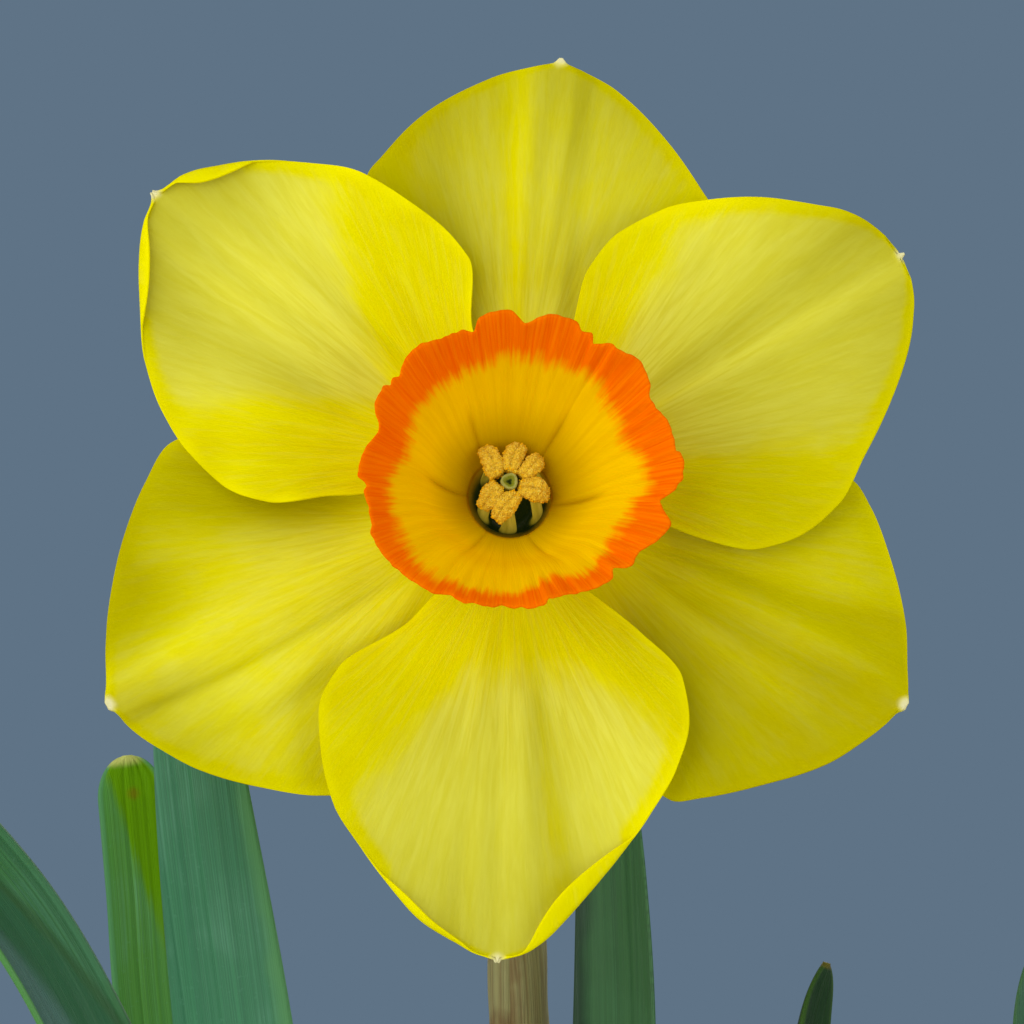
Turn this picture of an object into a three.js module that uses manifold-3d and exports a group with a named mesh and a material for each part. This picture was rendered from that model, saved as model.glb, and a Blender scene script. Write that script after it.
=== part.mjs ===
// Large-cupped narcissus in flower, growing from its bulb in a plain clay pot.
// Millimetres, +Z up. The flower faces -Y and the origin is the middle of the pot's underside.

import * as THREE from 'three';
import { mergeVertices } from 'three/addons/utils/BufferGeometryUtils.js';
import Module from 'manifold-3d';

const wasm = await Module();
wasm.setup();

const { clamp, degToRad, lerp, smoothstep } = THREE.MathUtils;

// Pot and soil
const potHeight = 138;
const potFootRadius = 54;
const potShoulderRadius = 73;
const potRimRadius = 82;
const potRimHeight = 28;
const potWall = 6;
const potFloor = 9;
const drainHoleRadius = 6;
const drainHoleRing = 26;
const drainHoleCount = 4;
const soilLevel = 124;
const soilLump = 1.3;
const seatGap = 0.3;

// Bulbs: height of the foot and the nose, girth, and the pocket the shoot grows from
const bulbs = {
  main: { x: -4, y: 10, foot: 72, nose: 131, girth: 25, neck: 14.6, pocket: 12.7 },
  offset: { x: 38, y: 6, foot: 84, nose: 129, girth: 14.5, neck: 8.4, pocket: 6.9 },
};
const pocketFloor = 117;
const sheathThickness = 0.7;

// Flower: throat, and the direction it faces (turned up and a little to the right)
const throat = new THREE.Vector3(0, -34, 426);
const faceUp = degToRad(14);
const faceRight = degToRad(2.9);
const flowerAxis = new THREE.Vector3(
  Math.sin(faceRight) * Math.cos(faceUp),
  -Math.cos(faceRight) * Math.cos(faceUp),
  Math.sin(faceUp),
);
const flowerRight = new THREE.Vector3(1, 0, 0).addScaledVector(flowerAxis, -flowerAxis.x).normalize();
const flowerUp = new THREE.Vector3().crossVectors(flowerAxis, flowerRight);

// The tepals are drawn in a front view taken from this far off, aimed this far below the throat
const viewDistance = 600;
const viewDrop = 2.4;

// Perianth tube, ovary and stem
const tubeBore = 3.8;
const collarRadius = 6.7;
const collarTop = 1.2;
const tubeLength = 24;
const ovaryRadius = 3.7;
const pedicelRadius = 1.9;

// Tepals: blade thickness, spacing of the two whorls and how far the tips come forward
const tepalThickness = 0.6;
const whorlLevel = { inner: 0.8, outer: -1.2 };
const whorlCup = { inner: 1.1, outer: -0.9 };
const tipForward = 3.8;
const tepalRoot = 7;
const ridgeReach = 2.4;
const tepalRows = 14;

// Outline stations: distance from the throat, reach to the left and reach to the right.
// A curl gives where a rolled margin starts, the width of its roll and how far it turns.
const tepals = [
  {
    name: 'tepal_top', whorl: 'outer', angle: 84, tip: 47.4, tipOffset: 0.4,
    outline: [
      [7, 3.2, 3.2], [12, 8, 8], [20, 17.5, 16.8], [27, 20.5, 19.5], [33, 19.5, 18.8],
      [35, 18.2, 17.4], [40, 14.2, 13], [45, 6.8, 6.8], [46.7, 2.2, 2.8], [47.4, 0.1, 0.9],
    ],
    ridge: 0.25, wave: [0.5, 0.4], curls: [[38, 1, -50], [38, 1, -40]],
  },
  {
    name: 'tepal_upper_left', whorl: 'inner', angle: 140.4, tip: 51.4, tipOffset: 0,
    outline: [
      [7, 3.2, 3.2], [12.5, 11, 9.5], [15, 13.3, 11.3], [20, 18.3, 16.8], [25, 20, 17.6],
      [30, 19.6, 17.3], [35, 18, 16.5], [40, 15, 13.7], [45, 9.8, 9.8], [47.5, 6.8, 6.9],
      [50, 3, 3.5], [51.4, 0.5, 0.5],
    ],
    ridge: 0.2, wave: [0.6, 1.7], curls: [[43, 2.4, 150], [45, 2.4, 150]],
  },
  {
    name: 'tepal_lower_left', whorl: 'outer', angle: 209.3, tip: 50.5, tipOffset: 1.1,
    outline: [
      [7, 3.2, 3.2], [12, 8, 8], [20, 17.5, 17.5], [26, 20.8, 22.5], [30, 21, 23],
      [35, 19, 20.4], [40, 15.2, 16.3], [45, 10.2, 10.6], [47.5, 6.4, 6.8], [49.6, 2, 3],
      [50.5, -0.6, 1.6],
    ],
    ridge: 0.5, wave: [0.6, 2.9], curls: [[44, 0.8, -40], [42, 1.4, 120]],
  },
  {
    name: 'tepal_bottom', whorl: 'inner', angle: 268.2, tip: 52, tipOffset: 0,
    outline: [
      [7, 3.2, 3.2], [12, 10.5, 8.5], [15, 14.5, 11.2], [20, 19.5, 18.5], [25, 20.4, 20.6],
      [30, 19.2, 20.1], [35, 16.5, 18.7], [40, 13.2, 15.3], [45, 9.8, 11.2], [47.5, 7.6, 8.7],
      [50, 5, 4.5], [51.3, 2, 1.8], [52, 0.5, 0.5],
    ],
    ridge: 0.25, wave: [0.5, 4.1], curls: [[36, 3, 150], [40, 1.2, 120]],
  },
  {
    name: 'tepal_lower_right', whorl: 'outer', angle: 330.1, tip: 49.1, tipOffset: -1.1,
    outline: [
      [7, 3.2, 3.2], [12, 8, 8], [20, 17, 17], [26, 20, 21], [32, 19.7, 21],
      [35, 18.2, 19], [40, 14.2, 14.5], [45, 8.8, 9], [47.5, 4.6, 4.8], [49.1, 1.6, -0.6],
    ],
    ridge: 0.4, wave: [0.6, 5.2], curls: [[38, 1, -60], [38, 1, -60]],
  },
  {
    name: 'tepal_upper_right', whorl: 'inner', angle: 31.1, tip: 50.4, tipOffset: 0,
    outline: [
      [7, 3.2, 3.2], [15, 12, 15.3], [20, 16.7, 19.7], [25, 18.3, 20.8], [30, 18, 20],
      [35, 16.3, 17], [40, 13.6, 13.8], [45, 9.6, 9.7], [47.5, 7.2, 6.8], [49.8, 2.6, 2.6],
      [50.4, 0.5, 0.5],
    ],
    ridge: 0.2, wave: [0.5, 0.9], curls: [[42, 0.9, 60], [39, 1.5, 130]],
  },
];

// Corona: profile as height above the throat and radius, and the notches in its frilled rim
const coronaProfile = [[1.75, 5], [2.7, 6.6], [4.4, 8.7], [7.6, 11.5], [11.3, 14.6], [14.2, 16.9]];
const coronaThickness = 0.7;
const coronaColumns = 76;
const coronaRows = 7;
const coronaFlatten = 0.965;
const coronaNotches = [
  [-169, 0.9], [-156, 0.6], [-117, 1], [-79, 0.8], [-44, 1.2], [-15, 1.3], [27, 1.4],
  [58, 1], [65, 1], [88, 1.2], [110, 1.2], [149, 1], [167.5, 0.8],
];
const notchWidth = 3.4;

// Stamens and pistil
const antherAngles = [136, 73, 33, 340, 264, 215];
const antherInner = { reach: 1.45, rise: 4.3 };
const antherOuter = { reach: 4.5, rise: 2.5 };
const antherWidth = 1.9;
const filamentRadius = 0.55;
const filamentReach = 2.9;
const stamenRingDepth = -7;
const stigmaRise = 4.5;
const stigmaRadius = 0.85;
const styleRadius = 0.55;

// Stem: the scape rises from the main bulb, the pedicel bends forward to the ovary
const scapeTop = 356;
const stemPath = [
  [-4, 10, 117.4], [-3, 12, 180], [-1, 15, 260], [0.6, 17, 340], [0.8, 17, 358],
  [0.6, 17.2, 376], [-0.6, 16.6, 394], [-2.2, 13, 408],
];

// Spathe: papery sheath round the pedicel, split down the front
const spatheBase = 356.9;
const spatheHeight = 47;
const spatheThickness = 0.6;

// Leaves: spine points, half-width, channel radius from base to tip, and the way the upper
// face looks at the base and at the tip
const leafRows = 18;
const leafColumns = 5;
const leaves = [
  {
    name: 'leaf_far_left', halfWidth: 5.9, channel: [9.5, 5.8], blunt: 20,
    spine: [
      [-13.6, 10, 117.5], [-13.9, 10, 142], [-17.4, 10, 175], [-24.4, 6.5, 225], [-35, -5, 295],
      [-43.6, -15, 350], [-50.5, -19, 368], [-58.6, -21, 381], [-69, -21.5, 391], [-81, -20, 395],
    ],
    face: [[1, 0, 0], [0.42, -0.87, 0.26]],
  },
  {
    name: 'leaf_broad', halfWidth: 7.7, channel: [6.2, 30], blunt: 110,
    spine: [
      [-9.4, 6.9, 117.5], [-11.5, 4, 170], [-16, -2, 230], [-23.5, -11, 300],
      [-31.4, -22, 365.5], [-34.9, -27, 395.3], [-37.4, -29, 423],
    ],
    face: [[0.87, 0.5, 0], [0.12, 1, 0.1]],
  },
  {
    name: 'leaf_narrow', halfWidth: 3.9, channel: [6.2, 12], blunt: 5,
    spine: [
      [-8, 14.8, 117.5], [-11.5, 16, 175], [-19, 15.5, 235], [-31, 9, 300], [-42, 1.4, 362],
      [-43.4, 0.2, 380], [-44.7, -0.3, 395.3],
    ],
    face: [[0.64, -0.77, 0], [0.25, -1, 0.1]],
  },
  {
    name: 'leaf_right', halfWidth: 6.5, channel: [6.2, 5.4], blunt: 62,
    spine: [
      [0.4, 14.4, 117.5], [4.4, 14.9, 170], [9.6, 13.2, 240], [12.2, 10.6, 310], [12.8, 8, 363.4],
      [12.2, 7.2, 380], [11, 6.6, 400.6],
    ],
    face: [[-0.7, -0.7, 0], [-0.3, -1, 0.1]],
  },
  {
    name: 'leaf_offset_left', halfWidth: 4, channel: [3.6, 6], blunt: 22,
    spine: [
      [34.8, 5.2, 117.5], [33.2, 4.2, 190], [31, 2, 280], [31.6, 0.6, 335], [34.4, 0, 364],
      [36.6, 0, 371.2],
    ],
    face: [[1, 0.2, 0], [0.86, -0.5, 0]],
  },
  {
    name: 'leaf_offset_right', halfWidth: 4.6, channel: [3.6, 9], blunt: 12,
    spine: [[41.2, 6.8, 117.5], [44.4, 6.4, 190], [52, 4.5, 270], [61.8, 1, 345], [63, 0, 374.5]],
    face: [[-1, -0.2, 0], [-0.5, -0.87, 0]],
  },
];

// Colours
const clay = { color: 0xb4623c, roughness: 0.85, metalness: 0 };
const earth = { color: 0x2e2118, roughness: 1, metalness: 0 };
const tunic = { color: 0x7d5230, roughness: 0.75, metalness: 0 };
const membrane = { color: 0xcfc59a, roughness: 0.6, metalness: 0 };
const leafGreen = { color: 0x4b8264, roughness: 0.55, metalness: 0 };
const stemGreen = { color: 0x5f8f45, roughness: 0.5, metalness: 0 };
const paper = { color: 0x827850, roughness: 0.8, metalness: 0 };
const tubeGreen = { color: 0xa9b53c, roughness: 0.5, metalness: 0 };
const lemon = { color: 0xd6cf2f, roughness: 0.5, metalness: 0 };
const flame = { color: 0xf07a08, roughness: 0.5, metalness: 0 };
const pollen = { color: 0xd9a93f, roughness: 0.85, metalness: 0 };
const stigmaGreen = { color: 0xb0b878, roughness: 0.5, metalness: 0 };

const plant = new THREE.Group();

function addPart(name, geometry, look) {
  const mesh = new THREE.Mesh(geometry, new THREE.MeshStandardMaterial(look));
  mesh.name = name;
  plant.add(mesh);
}

// Smooth curve through [position, value] stations that never overshoots them
function track(stations) {
  const last = stations.length - 2;
  const slopes = stations.slice(1).map(
    ([x, y], i) => (y - stations[i][1]) / (x - stations[i][0]),
  );
  const tangents = stations.map((_, i) => {
    const before = slopes[Math.max(i - 1, 0)];
    const after = slopes[Math.min(i, last)];
    return before * after <= 0 ? 0 : (2 * before * after) / (before + after);
  });
  return (x) => {
    let i = 0;
    while (i < last && x > stations[i + 1][0]) i += 1;
    const [x0, y0] = stations[i];
    const [x1, y1] = stations[i + 1];
    const t = clamp((x - x0) / (x1 - x0), 0, 1);
    const pull = (x1 - x0) * t * (1 - t);
    const bend = tangents[i] * (1 - t) - tangents[i + 1] * t;
    return lerp(y0, y1, t * t * (3 - 2 * t)) + pull * bend;
  };
}

function geometryFrom(points, triangles) {
  const geometry = new THREE.BufferGeometry();
  geometry.setAttribute('position', new THREE.Float32BufferAttribute(points.flatMap((p) => p.toArray()), 3));
  geometry.setIndex(triangles.flat());
  return geometry;
}

// Unit normals of a grid of points; columns join up when the grid goes round
function gridNormals(grid, round) {
  const columns = grid[0].length;
  const rows = grid.length;
  return grid.map((row, i) => row.map((_, j) => {
    const before = round ? (j + columns - 1) % columns : Math.max(j - 1, 0);
    const after = round ? (j + 1) % columns : Math.min(j + 1, columns - 1);
    const across = new THREE.Vector3().subVectors(row[after], row[before]);
    const along = new THREE.Vector3().subVectors(grid[Math.min(i + 1, rows - 1)][j], grid[Math.max(i - 1, 0)][j]);
    return across.cross(along).normalize();
  }));
}

// Closed blade with both faces offset from a middle grid, and split into the same triangles
function blade(grid, thicknessAt, round = false) {
  const rows = grid.length;
  const columns = grid[0].length;
  const normals = gridNormals(grid, round);
  const offsetGrid = (side) => grid.flatMap((row, i) => row.map(
    (point, j) => point.clone().addScaledVector(normals[i][j], (side * thicknessAt(i, j)) / 2),
  ));
  const points = [...offsetGrid(1), ...offsetGrid(-1)];
  const back = rows * columns;
  const at = (i, j) => i * columns + (j % columns);
  const triangles = [];
  const quad = (a, b, c, d) => triangles.push([a, b, c], [a, c, d]);
  const steps = round ? columns : columns - 1;
  for (let i = 0; i < rows - 1; i += 1) {
    for (let j = 0; j < steps; j += 1) {
      const [a, b, c, d] = [at(i, j), at(i, j + 1), at(i + 1, j + 1), at(i + 1, j)];
      quad(a, b, c, d);
      triangles.push([back + a, back + c, back + b], [back + a, back + d, back + c]);
    }
    if (!round) {
      quad(at(i, 0), at(i + 1, 0), back + at(i + 1, 0), back + at(i, 0));
      const [a, d] = [at(i, columns - 1), at(i + 1, columns - 1)];
      quad(a, back + a, back + d, d);
    }
  }
  for (let j = 0; j < steps; j += 1) {
    const [a, b] = [at(0, j), at(0, j + 1)];
    quad(a, back + a, back + b, b);
    const [c, d] = [at(rows - 1, j), at(rows - 1, j + 1)];
    quad(c, d, back + d, back + c);
  }
  return geometryFrom(points, triangles);
}

// Solid skin over closed rings of points, with a fan over each end
function loft(rings) {
  const sides = rings[0].length;
  const points = rings.flat();
  const triangles = [];
  for (let i = 0; i < rings.length - 1; i += 1) {
    for (let j = 0; j < sides; j += 1) {
      const [a, b] = [i * sides + j, i * sides + ((j + 1) % sides)];
      triangles.push([a, b, b + sides], [a, b + sides, a + sides]);
    }
  }
  const centreOf = (ring) => ring.reduce((sum, p) => sum.add(p), new THREE.Vector3()).divideScalar(sides);
  const first = points.push(centreOf(rings[0])) - 1;
  const end = points.push(centreOf(rings[rings.length - 1])) - 1;
  const top = (rings.length - 1) * sides;
  for (let j = 0; j < sides; j += 1) {
    const next = (j + 1) % sides;
    triangles.push([first, next, j], [end, top + j, top + next]);
  }
  return geometryFrom(points, triangles);
}

function lathe(profile, segments) {
  const geometry = new THREE.LatheGeometry(profile.map(([r, z]) => new THREE.Vector2(r, z)), segments);
  geometry.rotateX(Math.PI / 2);
  geometry.deleteAttribute('normal');
  geometry.deleteAttribute('uv');
  return mergeVertices(geometry, 1e-4);
}

function toSolid(geometry) {
  const vertProperties = new Float32Array(geometry.attributes.position.array);
  const triVerts = new Uint32Array(geometry.index.array);
  return new wasm.Manifold(new wasm.Mesh({ numProp: 3, vertProperties, triVerts }));
}

function fromSolid(solid) {
  const mesh = solid.getMesh();
  const geometry = new THREE.BufferGeometry();
  geometry.setAttribute('position', new THREE.Float32BufferAttribute(mesh.vertProperties, 3));
  geometry.setIndex(Array.from(mesh.triVerts));
  return geometry;
}

// Point in the flower's own frame: reach and angle about its axis, and rise along it
function flowerPoint(reach, angle, rise) {
  return throat.clone()
    .addScaledVector(flowerRight, reach * Math.cos(angle))
    .addScaledVector(flowerUp, reach * Math.sin(angle))
    .addScaledVector(flowerAxis, rise);
}

// Pot: turned body with a rim band, and drain holes beside the middle of its floor
function makePot() {
  const shoulder = potHeight - potRimHeight;
  const profile = [
    [0, 0], [potFootRadius - 2, 0], [potFootRadius, 2], [potShoulderRadius, shoulder],
    [potRimRadius - 3, shoulder + 0.6], [potRimRadius - 0.6, shoulder + 3],
    [potRimRadius, potHeight - 3], [potRimRadius - 2.4, potHeight],
    [potRimRadius - 5.6, potHeight], [potRimRadius - 7.2, potHeight - 1.8],
    [potShoulderRadius - potWall, shoulder - 8], [potFootRadius - potWall + 2, potFloor + 3],
    [potFootRadius - potWall - 2, potFloor], [0, potFloor],
  ];
  let solid = toSolid(lathe(profile, 56));
  for (let hole = 0; hole < drainHoleCount; hole += 1) {
    const turn = ((hole + 0.5) * 2 * Math.PI) / drainHoleCount;
    const drill = new THREE.CylinderGeometry(drainHoleRadius, drainHoleRadius, potFloor * 3, 20);
    drill.rotateX(Math.PI / 2);
    drill.translate(drainHoleRing * Math.cos(turn), drainHoleRing * Math.sin(turn), 0);
    drill.deleteAttribute('normal');
    drill.deleteAttribute('uv');
    solid = solid.subtract(toSolid(mergeVertices(drill, 1e-4)));
  }
  return fromSolid(solid);
}

// Outside of a bulb, swollen by a margin, from its foot up to the given height
function bulbOutside(bulb, margin, top) {
  const height = bulb.nose - bulb.foot;
  return [
    [0, bulb.foot - margin],
    [bulb.girth * 0.34, bulb.foot - margin],
    [bulb.girth * 0.78 + margin, bulb.foot + height * 0.08],
    [bulb.girth + margin, bulb.foot + height * 0.32],
    [bulb.girth * 0.93 + margin, bulb.foot + height * 0.52],
    [lerp(bulb.neck, bulb.girth, 0.35) + margin, bulb.foot + height * 0.74],
    [bulb.neck + margin, bulb.foot + height * 0.92],
    [bulb.neck - 0.5 + margin, top],
  ];
}

function makeBulb(bulb) {
  const profile = [
    ...bulbOutside(bulb, 0, bulb.nose), [bulb.pocket, bulb.nose], [bulb.pocket, pocketFloor], [0, pocketFloor],
  ];
  return lathe(profile, 28).translate(bulb.x, bulb.y, 0);
}

// Soil: lumpy top, and a pocket round each bulb that opens at the surface
function makeSoil() {
  const slope = (potShoulderRadius - potFootRadius) / (potHeight - potRimHeight);
  const wallAt = (z) => potFootRadius - potWall + slope * z - seatGap - 0.4;
  const profile = [
    [0, potFloor + seatGap], [wallAt(potFloor) - 4, potFloor + seatGap], [wallAt(20), 20], [wallAt(96), 96],
    [wallAt(soilLevel), soilLevel - 3],
    ...[0.96, 0.86, 0.74, 0.62, 0.5, 0.38, 0.26, 0.13].map((f) => [wallAt(soilLevel) * f, soilLevel]),
    [0, soilLevel],
  ];
  const geometry = lathe(profile, 40);
  const position = geometry.attributes.position;
  for (let i = 0; i < position.count; i += 1) {
    const [x, y, z] = [position.getX(i), position.getY(i), position.getZ(i)];
    const lump = Math.sin(0.31 * x + 1.3) * Math.sin(0.27 * y) + 0.6 * Math.sin(0.53 * x - 0.47 * y);
    if (z > soilLevel - 1) position.setZ(i, z + soilLump * lump);
  }
  let solid = toSolid(geometry);
  for (const bulb of Object.values(bulbs)) {
    const mouth = soilLevel + 20;
    const pocket = [...bulbOutside(bulb, seatGap, mouth), [0, mouth]];
    solid = solid.subtract(toSolid(lathe(pocket, 28).translate(bulb.x, bulb.y, 0)));
  }
  return fromSolid(solid);
}

// Thin sheath round the foot of a shoot, flared a little and cut at a slant
function makeSheath(bulb, height) {
  const rows = 4;
  const columns = 22;
  const grid = [];
  for (let i = 0; i <= rows; i += 1) {
    const row = [];
    for (let j = 0; j < columns; j += 1) {
      const turn = (-j / columns) * 2 * Math.PI;
      const rise = (i / rows) * height * (1 + 0.22 * Math.cos(turn - 0.8));
      const radius = bulb.pocket - 0.85 + 1.1 * smoothstep(rise, bulb.nose - pocketFloor, height);
      row.push(new THREE.Vector3(
        bulb.x + radius * Math.cos(turn),
        bulb.y + radius * Math.sin(turn),
        pocketFloor + seatGap + rise,
      ));
    }
    grid.push(row);
  }
  return blade(grid, () => sheathThickness, true);
}

// Strap leaf along its spine, channelled along the upper face and blunt at the tip
function makeLeaf({ spine, halfWidth, channel, blunt, face }) {
  const curve = new THREE.CatmullRomCurve3(spine.map((p) => new THREE.Vector3(...p)), false, 'centripetal');
  const length = curve.getLength();
  const [faceFoot, faceTip] = face.map((v) => new THREE.Vector3(...v));
  const grid = [];
  const offsets = [];
  for (let i = 0; i <= leafRows; i += 1) {
    const s = 1 - (1 - i / leafRows) ** 1.9;
    const centre = curve.getPointAt(s);
    const along = curve.getTangentAt(s);
    const face = faceFoot.clone().lerp(faceTip, smoothstep(s, 0, 0.75));
    const side = new THREE.Vector3().crossVectors(along, face).normalize();
    const up = new THREE.Vector3().crossVectors(side, along);
    const toTip = clamp((length * (1 - s)) / blunt, 0, 1);
    const waist = lerp(0.68, 1, smoothstep(s, 0.05, 0.5));
    const half = Math.max(halfWidth * waist * Math.sqrt(1 - (1 - toTip) ** 2), 0.6);
    const bend = lerp(channel[0], channel[1], smoothstep(s, 0, 0.4));
    const row = [];
    for (let j = 0; j <= leafColumns; j += 1) {
      const turn = (half / bend) * ((2 * j) / leafColumns - 1);
      row.push(centre.clone()
        .addScaledVector(side, bend * Math.sin(turn))
        .addScaledVector(up, bend * (1 - Math.cos(turn))));
    }
    grid.push(row);
    offsets.push(lerp(0.45, 1, toTip));
  }
  const thickness = (i, j) => offsets[i] * lerp(2, 0.9, Math.abs((2 * j) / leafColumns - 1) ** 2);
  return blade(grid, thickness);
}

// Ring of points round a path, wider across than deep
function ringAt(centre, along, across, wide, deep, sides) {
  const side = across.clone().addScaledVector(along, -across.dot(along)).normalize();
  const up = new THREE.Vector3().crossVectors(along, side);
  return Array.from({ length: sides }, (_, j) => {
    const turn = (j / sides) * 2 * Math.PI;
    return centre.clone()
      .addScaledVector(side, wide * Math.cos(turn))
      .addScaledVector(up, deep * Math.sin(turn));
  });
}

// Scape, pedicel and ovary grown as one green stem
function makeStem() {
  const ovaryFoot = tubeLength + seatGap + 13;
  const path = [
    ...stemPath.map((p) => new THREE.Vector3(...p)),
    flowerPoint(0, 0, -ovaryFoot),
    flowerPoint(0, 0, -ovaryFoot + 6.5),
    flowerPoint(0, 0, -tubeLength - seatGap),
  ];
  const curve = new THREE.CatmullRomCurve3(path, false, 'centripetal');
  const length = curve.getLength();
  const scapeEnd = track([[stemPath[0][2], 0], [scapeTop, (scapeTop - stemPath[0][2]) / length]])(scapeTop);
  const ovaryStart = 1 - ovaryFoot * 0.36 / length - 0.006;
  const girths = track([
    [0, 3.9], [scapeEnd * 0.5, 3.7], [scapeEnd - 0.03, 3.3], [scapeEnd - 0.004, 3.4],
    [scapeEnd + 0.004, pedicelRadius], [ovaryStart - 0.02, pedicelRadius], [ovaryStart + 0.012, 3],
    [1 - 0.02, ovaryRadius], [1, 3.4],
  ]);
  const stations = [
    ...Array.from({ length: 9 }, (_, i) => (i / 9) * (scapeEnd - 0.03)),
    scapeEnd - 0.03, scapeEnd - 0.004, scapeEnd + 0.004,
    ...Array.from({ length: 8 }, (_, i) => lerp(scapeEnd + 0.03, ovaryStart - 0.02, i / 7)),
    ovaryStart, ovaryStart + 0.012, 1 - 0.02, 1,
  ];
  const across = new THREE.Vector3(1, 0, 0);
  return loft(stations.map((s) => {
    const flatten = lerp(0.82, 1, smoothstep(s, scapeEnd - 0.05, scapeEnd));
    return ringAt(curve.getPointAt(s), curve.getTangentAt(s), across, girths(s), girths(s) * flatten, 14);
  }));
}

// Spathe: wraps the pedicel, opens down the front and leans back to a point
function makeSpathe() {
  const rows = 10;
  const columns = 12;
  const cover = track([[0, 171], [0.42, 168], [0.62, 120], [0.85, 60], [1, 14]]);
  const radius = track([[0, 2.95], [0.12, 3.25], [0.45, 3.1], [0.75, 3.6], [1, 4]]);
  const lean = track([[0, 0], [0.5, 0.3], [0.8, 2.6], [1, 7]]);
  const grid = [];
  for (let i = 0; i <= rows; i += 1) {
    const s = i / rows;
    const row = [];
    for (let j = 0; j <= columns; j += 1) {
      const turn = degToRad(90 + cover(s) * (1 - (2 * j) / columns));
      const reach = radius(s) * (1 + (j > columns / 2 ? 0.1 : 0) * (1 - s));
      row.push(new THREE.Vector3(
        0.8 + reach * Math.cos(turn) - 1.2 * s,
        17 + lean(s) + reach * Math.sin(turn),
        spatheBase + spatheHeight * s,
      ));
    }
    grid.push(row);
  }
  return blade(grid, () => spatheThickness);
}

// Perianth tube with the collar that carries the tepals and the corona
function makeTube() {
  const profile = [
    [1.4, -tubeLength], [3.3, -tubeLength], [3.5, -tubeLength * 0.6], [4.5, -6], [5.6, -3.2],
    [collarRadius, -1.9], [collarRadius, collarTop - 0.4], [collarRadius - 0.5, collarTop],
    [tubeBore + 0.2, collarTop], [tubeBore, collarTop - 0.4], [tubeBore, -6],
    [2.4, -tubeLength * 0.7], [1.4, -tubeLength + 2], [1.4, -tubeLength],
  ];
  const frame = new THREE.Matrix4().makeBasis(flowerRight, flowerUp, flowerAxis).setPosition(throat);
  return lathe(profile, 28).applyMatrix4(frame);
}

// Lifts a point of the front view onto the flower, at the given height over its plane
function liftOntoFlower(x, z, height) {
  const point = new THREE.Vector3();
  for (let pass = 0; pass < 4; pass += 1) {
    const shrink = 1 + point.y / viewDistance;
    point.x = x * shrink;
    point.z = (z + viewDrop) * shrink - viewDrop;
    point.y = (height - point.x * flowerAxis.x - point.z * flowerAxis.z) / flowerAxis.y;
  }
  return point.add(throat);
}

// One tepal: blade with a ridged middle, waved sides and rolled margins near the tip
function makeTepal(tepal) {
  const turn = degToRad(tepal.angle);
  const reachLeft = track(tepal.outline.map(([r, left]) => [r, left]));
  const reachRight = track(tepal.outline.map(([r, , right]) => [r, right]));
  const grid = [];
  for (let i = 0; i <= tepalRows; i += 1) {
    const s = 1 - (1 - i / tepalRows) ** 1.9;
    const r = lerp(tepalRoot, tepal.tip, s);
    const middle = tepal.tipOffset * smoothstep(r, 25, tepal.tip) ** 2;
    const sides = [[-1, reachLeft(r), tepal.curls[0]], [1, reachRight(r), tepal.curls[1]]].map(
      ([sign, reach, [start, roll, degrees]]) => {
        const width = sign * (sign * reach - middle);
        const amount = smoothstep(r, start, lerp(start, tepal.tip, 0.6));
        const arc = Math.min(0.4 + (roll - 0.4) * amount, width * 0.55);
        const angle = degToRad(lerp(Math.sign(degrees) * 12, degrees, amount));
        return { sign, width, arc, angle };
      },
    );
    const section = ({ sign, width, arc, angle }, fraction, curl) => {
      const bend = arc / angle;
      const crest = Math.abs(bend) * (Math.abs(angle) < Math.PI / 2 ? Math.sin(Math.abs(angle)) : 1);
      const flat = (width - crest) * fraction;
      const x = middle + sign * (flat + Math.abs(bend * Math.sin(angle * curl)));
      const u = clamp(flat / Math.max(width, 1), 0, 1);
      const radial = Math.hypot(r, x);
      const along = smoothstep(radial, 8, 22) * smoothstep(tepal.tip - r, -4, 14);
      const ridge = tepal.ridge * Math.cos(clamp(Math.abs(x - middle) / ridgeReach - 1, -1, 1) * Math.PI);
      const wave = tepal.wave[0] * Math.sin(radial * 0.32 + tepal.wave[1] + sign) * u ** 3;
      const height = whorlLevel[tepal.whorl]
        + tipForward * ((radial - tepalRoot) / (tepal.tip - tepalRoot)) ** 1.4
        + (whorlCup[tepal.whorl] * u * u + ridge + wave) * along
        + bend * (1 - Math.cos(angle * curl));
      return liftOntoFlower(
        r * Math.cos(turn) + x * Math.sin(turn),
        r * Math.sin(turn) - x * Math.cos(turn),
        height,
      );
    };
    const flats = [0.13, 0.48, 0.84];
    grid.push([
      section(sides[0], 1, 1), section(sides[0], 1, 0.5),
      ...flats.toReversed().map((f) => section(sides[0], f, 0)),
      section(sides[1], 0, 0),
      ...flats.map((f) => section(sides[1], f, 0)),
      section(sides[1], 1, 0.5), section(sides[1], 1, 1),
    ]);
  }
  return blade(grid, () => tepalThickness);
}

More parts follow.
